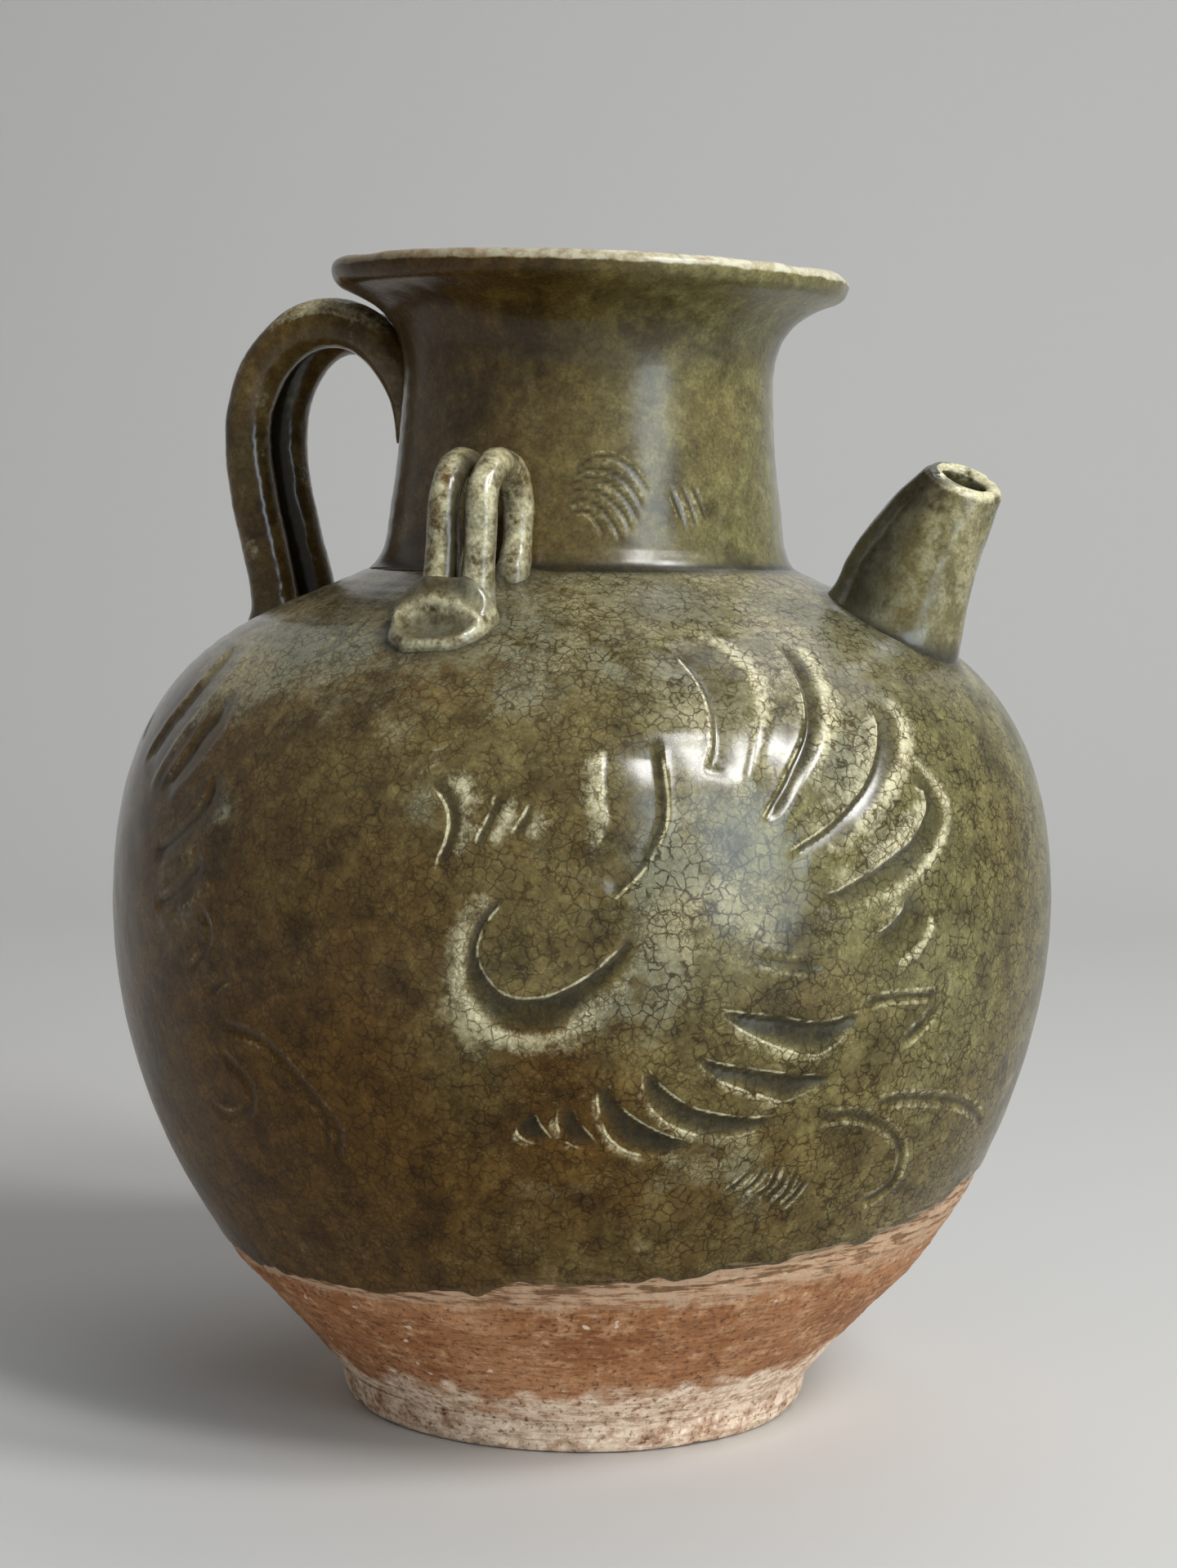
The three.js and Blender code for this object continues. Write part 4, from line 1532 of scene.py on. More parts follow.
LINES = (
    Incised(((-49.1, 88.6), (-46.7, 87.5), (-43.8, 86.8), (-40.6, 86.5)), 0.9, 0.3, 0.12, 0.5),
    Incised(((-147.7, 119.8), (-144, 114.9)), strength=0.5),
    Incised(
        ((-115.6, 91.4), (-114.1, 89.4), (-113.9, 86.6), (-115.2, 83.9), (-117.8, 81.1)),
        0.7, 0.35, 0.14, 0.45,
    ),
    Incised(((-109.7, 82.2), (-112.4, 79.9), (-115.1, 77.6)), 0.7, 0.3, 0.1, 0.45),
    Incised(
        ((-88.1, 113.1), (-87.4, 115.1), (-86, 116.6), (-84.5, 117.7), (-82.4, 118.5)),
        0.7, 0.2, 0.12, 0.5,
    ),
    Incised(((-36, 80), (-32.7, 80.8), (-28.8, 80.7), (-24.3, 80.4)), 0.7, 0.3, 0.12, 0.9),
    Incised(((-24.5, 79.2), (-25.4, 77.3), (-27.1, 75.3), (-29.9, 73)), 0.9, 0.35, 0.12, 0.8),
    *(
        Incised(path)
        for path in (
            ((-50.8, 50.5), (-48.6, 52.7), (-46.8, 55.4)),
            ((-48.6, 50.3), (-46.5, 52.5), (-45.4, 55.4)),
            ((-46.7, 49.6), (-44.4, 51.7), (-43.7, 55.9)),
            ((-45.3, 48.9), (-43.2, 51.3), (-42.4, 54.6)),
            ((-44.1, 47.6), (-42, 50.3), (-41.1, 54.8)),
            ((-42.5, 47.2), (-40.7, 49.6), (-39.2, 52.9)),
        )
    ),
    Incised(
        ((-32.3, 63.4), (-28.2, 64), (-22.2, 63.1), (-15.3, 60.9), (-10.6, 58.2),
         (-6.6, 54.9)),
        0.9, 0.28, 0.2, 0.75,
    ),
    Incised(
        ((-40, 62.2), (-35.5, 62.5), (-30.7, 60.5), (-27.3, 57.6), (-25, 53.9),
         (-24.8, 49.8), (-27.1, 47.4), (-30.2, 46.7)),
        0.9, 0.28, 0.2, 0.75,
    ),
    Incised(
        ((-112.1, 73.6), (-105.5, 71.8), (-100.2, 65.3), (-96.8, 59.3), (-97.8, 54.1)),
        0.9, 0.3, 0.2, 0.45,
    ),
    Incised(
        ((-113.4, 69), (-109.4, 65), (-109.4, 61.2), (-113.6, 57.9), (-117.9, 59.4)),
        0.9, 0.3, 0.2, 0.4,
    ),
    Incised(((-101.3, 65.1), (-99.3, 63), (-98.2, 60.2), (-98.9, 54.6)), 0.6, 0.25, 0.1, 0.5),
    Incised(
        ((-112.6, 135.3), (-109.3, 134.4), (-108.8, 132.6), (-110.5, 131.8)),
        0.9, 0.25, 0.2, 0.4,
    ),
    Incised(
        ((-108.5, 136.8), (-107.2, 134.6), (-108.1, 132), (-110.5, 130.5)),
        0.9, 0.25, 0.2, 0.4,
    ),
)
TONES = (
    Tone(-50, 93, 11, 10, 0.12),
    Tone(-59, 96, 4, 11, 0.9),
    Tone(-67, 80, 7, 5, 0.6),
    Tone(-86, 110, 4, 5, 0.5),
    Tone(-80, 78, 5, 5, 0.5),
    Tone(-104, 60, 22, 18, -0.45),
    # Painted sheen: a pale patch on the left shoulder.
    Tone(-124, 129, 11, 8, 0.55),
    Tone(-94, 92, 16, 20, -0.4),
    Tone(-56, 100, 8, 9, 0.35),
    Tone(-38, 116, 7, 8, 0.45),
    Tone(-30, 104, 8, 6, 0.35),
    Tone(-48, 66, 9, 7, 0.1),
    Tone(-44, 82, 9, 6, -0.25),
    Tone(-71, 74, 7, 8, -0.7),
    Tone(-70, 60, 9, 6, -0.5),
    Tone(-52, 122, 6, 8, 0.35),
    Tone(-73, 108, 9, 8, 0.1),
    # Painted sheen: a pale patch on the left shoulder.
    Tone(-111, 131, 9, 8, 0.5),
    Tone(-52, 56, 9, 6, 0.32),
    Tone(-8, 90, 16, 30, -0.55),
    Tone(-20, 70, 14, 12, 0.2),
)
MOTIF = FEATHERS + PETAL_AND_BOWL + TAIL + LEAF + LINES + TONES
SEATS = (
    Seat(0, 55.5, 12.0, 12.0, fillet=0.7, spread=1.3),
    Seat(-175.7, 57.9, 5.6, 5.2),
    Seat(175.5, 55.0, 5.6, 5.2),
)
LUG_SEATS = (
    Seat(-91.9, 56.0, 9.0, 8.3, fillet=0.35, spread=0.9, pool=0.75),
    Seat(-94.6, 40.2, 3.0, 2.8, fillet=0.8),
    Seat(-85.4, 40.2, 3.0, 2.8, fillet=0.8),
)
COMB_ON_NECK = (
    ((-71.3, 161.1), (-66.6, 163.1), (-60.5, 163.4), (-55.0, 161.5), (-50.0, 157.7)),
    ((-72.8, 159.9), (-66.8, 161.5), (-60.9, 161.0), (-55.3, 158.4), (-51.8, 155.0)),
    ((-73.2, 158.6), (-67.3, 159.9), (-61.4, 159.1), (-56.3, 156.2), (-53.4, 153.2)),
    ((-73.5, 157.1), (-68.0, 158.2), (-62.5, 157.2), (-57.7, 154.3), (-55.1, 151.4)),
    ((-73.4, 155.5), (-68.7, 156.4), (-64.0, 155.3), (-60.1, 152.5), (-58.0, 149.8)),
    ((-72.6, 154.0), (-68.8, 154.7), (-65.4, 153.5), (-62.3, 150.6)),
    ((-43.5, 158.2), (-41.5, 155.5), (-39.3, 151.9)),
    ((-40.3, 158.9), (-37.8, 156.0), (-35.4, 151.9)),
    ((-36.9, 159.3), (-34.4, 156.5), (-32.3, 153.3)),
)


# Sub-assemblies


def clay_roughness(place: Points) -> Points:
    """How far bare clay stands out at places on it: small waves of three lengths."""
    return rippled(place, (0.10, 16, 21), (0.05, 4, 22), (0.04, 1.9, 23))


def foot_paleness(grid: Points) -> Points:
    """How pale the clay is near the foot: a zone that is taller towards the right."""
    rightwards = grid[..., 0] * RIGHT[0] + grid[..., 1] * RIGHT[1]
    top = 11.8 + 0.055 * rightwards + rippled(grid, (1.6, 11, 24), (1.0, 4, 25))
    return 1 - smoothstep(grid[..., 2] - top, -1.6, 1.6)


@dataclass(frozen=True)
class GlazeEdge:
    """The wavy lower ends of the glaze and of the pale brushed wash below it."""

    glaze: Path = (
        (-180, 31.0), (-150, 29.6), (-127, 29.0), (-108, 29.3), (-97, 29.8), (-81, 32.2),
        (-73, 34.6), (-57, 35.4), (-43, 36.4), (-37, 37.8), (-25, 38.3), (-11, 40.4),
        (-4, 43.4), (10, 44.0), (35, 40.5), (60, 37.5), (95, 35.0), (130, 36.5),
        (155, 33.4), (180, 31.0),
    )
    wash: Path = (
        (-180, 28.5), (-140, 27.6), (-100, 28.4), (-83, 29.6), (-61, 29.9), (-46, 30.8),
        (-29, 32.1), (-18, 32.8), (0, 34.0), (40, 33.6), (90, 30.4), (140, 29.4),
        (180, 28.5),
    )
    radius: float = 60.0

    def height(self, azimuth: Points) -> Points:
        """The height where the glaze ends, with a fine unevenness as the brush left it."""
        wanted = wrapped(azimuth)
        line = np.interp(wanted, *np.array(self.glaze, float).T)
        turn = np.radians(wanted)
        spot = np.stack([self.radius * np.cos(turn), self.radius * np.sin(turn), 0 * turn], -1)
        return line + 0.5 * ripple(spot, 9, 5) + 0.3 * ripple(spot, 3.2, 6)

    def wash_height(self, azimuth: Points) -> Points:
        """The height where the wash ends."""
        return np.interp(wrapped(azimuth), *np.array(self.wash, float).T)


@dataclass
class SubAssembly:
    """A part of the ewer, made with the object's finishes."""

    finishes: Finishes


@dataclass
class Belly(SubAssembly):
    """The thrown belly: its carved glaze in two panels over a wall of bare clay.

    Attributes:
        profile: Its outline.
        edge: Where the glaze ends.
        panel_edges: The azimuths where the two panels meet.
        columns: The columns of a panel.
        rows: The rows of a panel.
        glaze_sunk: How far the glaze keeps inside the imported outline.
        clay_top: The height up to which the clay is finely divided.
        clay_end: The height where the clay's outer face ends, under the neck.
        clay_columns: The columns of the clay wall.
        underside: The height of the recess inside the foot ring.
        neck_foot: The radius of the neck's foot on the shoulder.
        neck_offset: How far the neck stands off the axis.
        neck_hole: The radius of the hole under the neck.
        collar_top: The height of the collar inside the neck.
        ring_pitch: The distance between two throwing rings.
        mark_pitch: The distance between two marks of the trimming tool.
    """

    profile: BellyProfile = field(default_factory=BellyProfile)
    edge: GlazeEdge = field(default_factory=GlazeEdge)
    panel_edges: tuple[float, float, float] = (-158.0, 22.0, 202.0)
    columns: int = 470
    rows: int = 208
    glaze_sunk: float = 0.14
    clay_top: float = 52.0
    clay_end: float = 143.0
    clay_columns: int = 320
    underside: float = 5.5
    neck_foot: float = 36.7
    neck_offset: float = -0.55
    neck_hole: float = 30.5
    collar_top: float = 146.0
    ring_pitch: float = 3.4
    mark_pitch: float = 2.3

    def carved(self, azimuth: Points, height: Points) -> Relief:
        """The relief at places on the belly.

        Args:
            azimuth: Angles in degrees, one for each point.
            height: Heights, of the same shape.

        Returns:
            The relief with both motifs and every seat carved in.
        """
        relief = Relief(self.profile, azimuth, height)
        for turn in (0.0, 180.0):
            for stroke in MOTIF + LUG_SEATS:
                stroke.carve(relief, turn)
        for seat in SEATS:
            seat.carve(relief, 0.0)
        return relief

    def glaze_panel(self, first: float, last: float) -> Surface:
        """One half of the glazed skin.

        Each column runs along the outline from the glaze's edge to under the neck. A
        point moves along the outline's normal by the relief, the throwing rings and the
        thickness of the glaze, which rounds off at its lower edge as 1 - exp(-d/0.5).

        Args:
            first: The azimuth of the first column, in degrees.
            last: The azimuth of the last column.

        Returns:
            The surface with the values that the glaze reads.
        """
        azimuth = np.linspace(first, last, self.columns)
        top = lengths_along(self.profile.outline())[-1]
        low = self.profile.along(self.edge.height(azimuth))
        distance = low + (top - low) * np.linspace(0, 1, self.rows)[:, None]
        spot, normal = self.profile.at(distance)
        relief = self.carved(np.broadcast_to(azimuth, distance.shape), spot[..., 1])
        place = revolved(spot, np.radians(azimuth))
        turns = 2 * np.pi * distance / self.ring_pitch
        rings = 0.04 * np.sin(turns + ripple(place, 60, 11))
        rings *= smoothstep(spot[..., 1], 108, 128) * (0.6 + 0.6 * ripple(place, 25, 12))
        wave = rippled(place, (0.06, 38, 13), (0.03, 7, 14))
        over_edge = distance - low
        roll = 0.7 * np.exp(-over_edge / 0.5)
        bead = 0.16 * bell(over_edge - 1.2, 1.1)
        moved = relief.height_change() + rings + wave - self.glaze_sunk - roll + bead
        from_neck = np.hypot(place[..., 0] - self.neck_offset, place[..., 1]) - self.neck_foot
        at_neck = bell(np.maximum(from_neck, 0), 1.1) * (spot[..., 1] > 140)
        return Surface(
            revolved(spot + normal * moved[..., None], np.radians(azimuth)),
            turns=False,
            values={
                **relief.values(),
                "pool": np.maximum(relief.pool, 0.95 * at_neck),
                "rim": smoothstep(4.5 - over_edge, 0, 4.5),
            },
        )

    def clay_face(self, azimuth: Points) -> Points:
        """The wall's outer face, deeper and deeper below the glaze.

        The bare part is rough and keeps the marks of the trimming tool, a sine along
        the outline.

        Args:
            azimuth: The azimuths of the columns, in radians.

        Returns:
            Points of radius and height, with shape (rows, columns, 2).
        """
        end, top = self.profile.along(np.array([self.clay_top, self.clay_end]))
        along = np.concatenate([np.linspace(0, end, 110), np.linspace(end, top, 40)[1:]])
        face, normal = self.profile.at(along)
        glaze_edge = self.profile.along(self.edge.height(np.degrees(azimuth)))
        over_edge = along[:, None] - glaze_edge
        sunk = 0.12 + 0.4 * smoothstep(over_edge, -4, -0.5) + 1.4 * smoothstep(over_edge, 2, 7)
        marks = 0.04 * np.sin(2 * np.pi * along / self.mark_pitch) * smoothstep(along, 3, 9)
        moved = clay_roughness(revolved(face, azimuth)) + marks[:, None] - sunk
        return face[:, None] + normal[:, None] * moved[..., None]

    def inner_half(self) -> Points:
        """The collar, the inside of the wall and the floor, as radius and height."""
        heights = np.linspace(self.clay_end, 16, 46)
        inner, inward = self.profile.at(self.profile.along(heights))
        inside = inner - inward * self.profile.wall
        inside = inside[(inside[:, 0] > self.neck_hole) & (inside[:, 1] > 13.5)]
        lid = [(34.0, self.collar_top), (self.neck_hole, self.collar_top)]
        radii = (inside[-1, 0] - 3.5, 20, 0.5)
        return np.vstack([lid, inside, [(radius, self.profile.floor) for radius in radii]])

    def clay_wall(self) -> Surface:
        """The wall under the glaze, the floor and the inside, as one closed turn.

        The outline goes out along the underside, up the outer face, over the collar and
        back down inside.
        """
        azimuth = all_round(self.clay_columns)
        face = self.clay_face(azimuth)
        under = np.array([(radius, self.underside) for radius in (0.5, 15, 30, 40)])
        under, inner_half = (
            np.repeat(line[:, None], len(azimuth), axis=1)
            for line in (under, self.inner_half())
        )
        grid = revolved(np.vstack([under, face, inner_half]), azimuth)
        heights = grid[..., 2]
        angle = np.broadcast_to(np.degrees(azimuth), heights.shape)
        glaze, wash = self.edge.height(angle), self.edge.wash_height(angle)
        inner_part = np.zeros(heights.shape)
        inner_part[len(under) + len(face) :] = 1
        return Surface(
            grid,
            caps=(True, True),
            values={
                "wash": (heights - wash) / np.maximum(glaze - wash, 0.8),
                "inside": inner_part,
                "foot": foot_paleness(grid),
            },
        )

    def build(self) -> None:
        """Makes the two glazed panels and the clay wall."""
        names = ("belly_glaze_front", "belly_glaze_rear")
        for name, first, last in zip(names, self.panel_edges, self.panel_edges[1:]):
            panel = self.glaze_panel(first, last)
            piece_from(name, panel, self.finishes.glaze, Slot.OLIVE, "body")
        piece_from("belly_clay", self.clay_wall(), self.finishes.clay, Slot.CLAY, "body")


@dataclass
class FootRing(SubAssembly):
    """The turned foot ring, chipped and worn along its edges."""

    outer: float = 41.2
    sole: float = 40.4
    inner: float = 32.6
    height: float = 5.8
    sunk: float = 0.12
    columns: int = 420

    def build(self) -> None:
        """Turns the ring's outline and roughens it, with bites out of the lower edge."""
        corners = [
            (self.inner, self.height), (self.inner + 0.3, 2.6), (self.inner + 1.1, 0.45),
            (self.inner + 2.0, 0.0), (self.sole - 1.6, 0.0), (self.sole - 0.5, 0.35),
            (self.sole, 1.3), (self.outer - 0.25, 3.4), (self.outer, 5.2),
            (self.outer + 0.5, self.height),
        ]
        grid = revolved(resampled(np.array(corners), 46), all_round(self.columns))
        radius = np.linalg.norm(grid[..., :2], axis=-1, keepdims=True)
        bites = smoothstep(ripple(grid, 6.5, 34), 0.75, 1.5) * bell(grid[..., 2] - 0.6, 1.5)
        fine = 0.05 * ripple(grid, 1.5, 32) * smoothstep(grid[..., 2], 5.4, 4.0)
        out = np.sign(radius[..., 0] - (self.inner + self.outer) / 2)
        moved = out * (clay_roughness(grid) + fine - self.sunk - 0.9 * bites)
        grid[..., :2] *= 1 + moved[..., None] / radius
        grid[..., 2] += np.where(grid[..., 2] > 0.2, 0.6 * bites, 0)
        grid[..., 2] = np.maximum(grid[..., 2], 0)
        shape = grid.shape[:2]
        values = {"wash": np.full(shape, -3.0), "inside": np.zeros(shape), "foot": np.ones(shape)}
        surface = Surface(grid, loops=True, values=values)
        piece_from("foot_ring_clay", surface, self.finishes.clay, Slot.CLAY, "foot_ring")


@dataclass
class Neck(SubAssembly):
    """The waisted neck and its flared lip, a little off centre and leaning to the spout."""

    seat: float = 146.7
    base_radius: float = 34.7
    collar: float = 36.2
    hollow: float = 0.4
    waist_radius: float = 31.85
    waist_height: float = 176.4
    flare_radius: float = 42.9
    flare_height: float = 191.4
    flare_rise: float = 0.59
    flare_run: float = 0.29
    flare_drop: float = 2.6
    lip_radius: float = 44.75
    rim: float = 196.1
    wall: float = 4.2
    offset: float = -0.55
    lean: float = 0.3
    tilt: float = 0.0205
    ring_pitch: float = 3.1
    columns: int = 560
    rows: int = 170

    def outside(self) -> Points:
        """The outer face: a fillet on the shoulder, the waist and the flare."""
        waist = (self.waist_radius, self.waist_height)
        rise = self.flare_height - self.waist_height
        run = self.flare_radius - self.waist_radius
        middle = (self.base_radius + self.waist_radius) / 2 - self.hollow
        middle_height = (self.seat + self.waist_height) / 2
        foot = splined(
            (
                (self.collar + 1.3, self.seat - 2.5),
                (self.collar + 0.2, self.seat - 1.5),
                (self.collar - 0.6, self.seat - 0.4),
                (self.base_radius + 0.35, self.seat + 0.9),
                (self.base_radius - 0.2, self.seat + 2.8),
                (middle + 0.85, (self.seat + middle_height) / 2 + 1.5),
                (middle, middle_height),
                ((middle + self.waist_radius) / 2 - 0.1, self.waist_height - 7),
                waist,
            ),
            90,
        )
        flare = (
            waist,
            (self.waist_radius, self.waist_height + self.flare_rise * rise),
            (self.waist_radius + self.flare_run * run, self.flare_height - self.flare_drop),
            (self.flare_radius, self.flare_height),
        )
        return joined(foot, bezier(flare, 60))

    def outline(self) -> Points:
        """The outer face from the shoulder to the lip, then back down the inside."""
        outside = self.outside()
        slope = np.gradient(outside, axis=0)
        slope /= np.linalg.norm(slope, axis=1)[:, None]
        inside = outside + np.stack([-slope[:, 1], slope[:, 0]], -1) * self.wall
        inside = inside[inside[:, 1] > self.seat + 3][::-1]
        lip = splined(
            (
                (self.flare_radius, self.flare_height),
                (self.lip_radius - 0.75, self.flare_height + 1.0),
                (self.lip_radius - 0.05, self.flare_height + 2.7),
                (self.lip_radius - 0.35, self.rim - 0.9),
                (self.lip_radius - 1.2, self.rim - 0.2),
                (self.lip_radius - 2.3, self.rim - 0.05),
                tuple(inside[0] + (0.2, 0.1)),
                tuple(inside[4]),
            ),
            44,
        )
        tail = np.array([(self.base_radius - self.wall, self.seat - 1.5)])
        return np.vstack([outside, lip[1:], inside[5:], tail])

    def settled(self, grid: Points) -> Points:
        """Shifts, leans and tilts the neck by the share of its height, as it was luted on."""
        share = np.clip((grid[..., 2] - self.seat) / (self.rim - self.seat), 0, 1)
        x = grid[..., 0] + self.offset + self.lean * share
        z = grid[..., 2] - self.tilt * grid[..., 0] * share**2
        return np.stack([x, grid[..., 1], z], -1)

    def radius_at(self, height: float) -> float:
        """The outer radius at a height below the flare's end."""
        line = self.outside()
        return float(np.interp(height, line[:, 1], line[:, 0]))

    def combed(self, angle: Points, height: Points) -> tuple[Points, Points]:
        """The comb's arcs on both sides of the neck.

        Args:
            angle: Azimuths in degrees.
            height: Heights, of the same shape.

        Returns:
            The distance to the closest line, and how strong that line is.
        """
        apart, strength = np.full(angle.shape, 4.0), np.zeros(angle.shape)
        scale = math.radians(1) * self.waist_radius
        for turn in (0.0, 180.0):
            across = wrapped(angle - turn)
            for path in COMB_ON_NECK:
                line = splined(path, 24)
                low, high = line.min(0) - (6, 3), line.max(0) + (6, 3)
                near = (across > low[0]) & (across < high[0])
                near &= (height > low[1]) & (height < high[1])
                spots = np.stack([across[near] * scale, height[near]], -1)
                off, along, length = beside(spots, line * (scale, 1))
                ends = smoothstep(along, -0.5, 1.5) * smoothstep(length - along, -0.5, 1.5)
                closer = (np.abs(off) < apart[near]) & (ends > 0.02)
                apart[near] = np.where(closer, np.abs(off), apart[near])
                strength[near] = np.where(closer, ends, strength[near])
        return apart, strength

    def build(self) -> None:
        """Turns the neck with faint throwing rings, comb marks and a worn, uneven lip."""
        profile = resampled(self.outline(), self.rows)
        azimuth = all_round(self.columns)
        grid = revolved(profile, azimuth)
        normal = normals_of(grid, True)
        height = grid[..., 2]
        outer = (np.arange(self.rows) <= np.argmax(profile[:, 1]) + 3).astype(float)[:, None]
        rings = 0.04 * np.sin(2 * np.pi * height / self.ring_pitch + 2 * ripple(grid, 50, 41))
        rings *= 0.6 + 0.5 * ripple(grid, 18, 42)
        wave = rippled(grid, (0.08, 24, 43), (0.02, 5, 44))
        angle = np.broadcast_to(np.degrees(azimuth), height.shape)
        apart, strength = self.combed(angle, height)
        strength = strength * outer
        on_lip = smoothstep(height, self.flare_height - 1, self.rim - 2)
        chips = smoothstep(ripple(grid, 5.5, 45), 0.8, 1.5) * on_lip
        moved = rings + wave - 0.2 * strength * bell(apart, 0.4) - 0.08
        moved += on_lip * (rippled(grid, (0.16, 15, 46), (0.02, 4, 47)) - 0.12)
        grid = grid + normal * (moved - 0.18 * chips)[..., None]
        seam = height - self.seat + 1.6
        values = {
            "pool": np.clip(bell(seam, 1.0) + 0.35 * bell(seam, 3.5), 0, 1) * outer,
            "groove": apart,
            "scored": strength,
            "lip": smoothstep(height, self.flare_height + 1.5, self.rim - 0.9),
        }
        surface = Surface(self.settled(grid), loops=True, values=values)
        piece_from("neck_glaze", surface, self.finishes.neck, Slot.OLIVE, "neck")


# Strands and spout


def strand(
    line: Points, across: tuple[float, float, float], radius: Points, columns: int
) -> Points:
    """Rolls a strand: a ring carried along a line that stays in one upright plane.

    Args:
        line: The middle line, shape (n, 3).
        across: The direction square to the plane of the line.
        radius: The radius at each point of the line.
        columns: The number of points round the ring.

    Returns:
        The grid: the middle, plus the radius times a turning unit vector, with its
        columns turned round where its faces would point inwards.
    """
    along = np.gradient(line, axis=0)
    along /= np.linalg.norm(along, axis=1)[:, None]
    side = np.broadcast_to(np.array(across, float), along.shape)
    out = np.cross(side, along)
    turn = from_zero(columns)[None, :, None]
    ring = np.cos(turn) * out[:, None] + np.sin(turn) * side[:, None]
    grid = line[:, None] + ring * radius[:, None, None]
    row = len(grid) // 2
    outward = grid[row] - grid.mean(1)[row]
    points_out = (outward * normals_of(grid, True)[row]).sum() >= 0
    return grid if points_out else grid[:, ::-1]


@dataclass
class Handle(SubAssembly):
    """The two-strand handle: a tail on the neck, an arch, and an S-curve to the shoulder."""

    belly: BellyProfile
    neck: Neck
    radius: float = 4.2
    gap: float = 0.3
    crown_reach: float = 48.0
    crown_height: float = 187.1
    reach: float = 64.4
    reach_height: float = 167.0
    foot_reach: float = 57.9
    tail_length: float = 21.0
    tail_radius: float = 2.4
    proud: float = 1.0
    far_inset: float = 2.9
    far_drop: float = 1.1
    foot_flare: float = 0.6
    foot_share: float = 0.965
    sunk: float = 0.12
    rows: int = 300

    def line(self, inset: float, drop: float) -> Points:
        """The middle line of one strand, as reach and height, from its tail to its foot.

        Args:
            inset: How far it keeps inside the other strand.
            drop: How far its crown keeps below the other's.

        Returns:
            Evenly spaced points of (-reach, height).
        """
        crown = (-self.crown_reach, self.crown_height - drop)
        throat_height = self.crown_height - 0.75 * (self.crown_height - self.reach_height)
        throat = (-(self.neck.radius_at(throat_height) + self.proud), throat_height)
        tail_height = crown[1] - self.tail_length
        tail = (-self.neck.radius_at(tail_height), tail_height)
        widest = (-(self.reach - inset), self.reach_height)
        foot_reach = self.foot_reach - inset
        foot = (-foot_reach, float(self.belly.height_at(foot_reach)) - self.radius)
        run_in, rise_in = (crown[0] - throat[0]) * KAPPA, (crown[1] - throat[1]) * KAPPA
        run_out, rise_out = (widest[0] - crown[0]) * KAPPA, (crown[1] - widest[1]) * KAPPA
        above_throat = (throat[0] - 0.12 * rise_in, throat[1] + rise_in)
        before_crown, after_crown = (crown[0] - run_in, crown[1]), (crown[0] + run_out, crown[1])
        leg = 0.34 * (widest[1] - foot[1])
        line = joined(
            np.linspace(tail, throat, 20),
            bezier((throat, above_throat, before_crown, crown), 60),
            bezier((crown, after_crown, (widest[0], widest[1] + rise_out), widest), 60),
            bezier((widest, (widest[0], widest[1] - leg), (foot[0], foot[1] + leg), foot), 80),
        )
        return resampled(line, self.rows)

    def build(self) -> None:
        """Rolls both strands and presses them against each other."""
        for label, side, inset, drop, seed in (
            ("near", Side.NEAR, 0, 0, 51),
            ("far", Side.FAR, self.far_inset, self.far_drop, 55),
        ):
            name = f"handle_{label}_glazed"
            surface = self.rolled(side, self.line(inset, drop), seed)
            node = f"handle_{label}_strand"
            piece_from(name, surface, self.finishes.handle, Slot.DARK, node)

    def rolled(self, side: Side, flat: Points, seed: int) -> Surface:
        """Rolls one strand: thin at its tail, flared at its foot, flat where it is pressed.

        The pressed side follows limit + 0.5 tanh((y - limit) / 0.5).

        Args:
            side: The side of the pair.
            flat: Its middle line.
            seed: The seed of its unevenness.

        Returns:
            The surface with the values that the glaze reads.
        """
        y = side.value * (self.radius + self.gap / 2)
        line = np.stack([flat[:, 0], np.full(len(flat), y), flat[:, 1]], -1)
        u = np.linspace(0, 1, len(line))
        radius = self.tail_radius + (self.radius - self.tail_radius) * smoothstep(u, 0, 0.2)
        radius += self.foot_flare * smoothstep(u, 0.86, 1)
        radius += 0.8 * bell(u - self.foot_share, 0.018)
        grid = strand(line, (0, 1, 0), radius, 56)
        normal = normals_of(grid, True)
        waves = ((0.16, 22, seed), (0.07, 7, seed + 1), (0.025, 2.2, seed + 2))
        grid = grid + normal * (rippled(grid, *waves) - self.sunk)[..., None]
        inward = -side.value * grid[..., 1]
        limit = -self.gap / 2 - 0.5
        pressed = limit + 0.5 * np.tanh((inward - limit) / 0.5)
        grid[..., 1] = -side.value * np.where(inward > limit, pressed, inward)
        contact = smoothstep(inward, limit - 1.4, limit + 0.5)
        top = smoothstep(grid[..., 2], self.crown_height - 6, self.crown_height + 3)
        foot = bell(u - self.foot_share, 0.03)[:, None]
        worn = smoothstep(ripple(grid, 8, seed + 3), 0.5, 1.5)
        values = {
            "pool": np.maximum(contact, 0.55 * foot),
            "thin": np.clip(top * (normal[..., 2] > 0.3) + 0.6 * worn, 0, 1),
        }
        return Surface(grid, caps=(True, True), values=values)


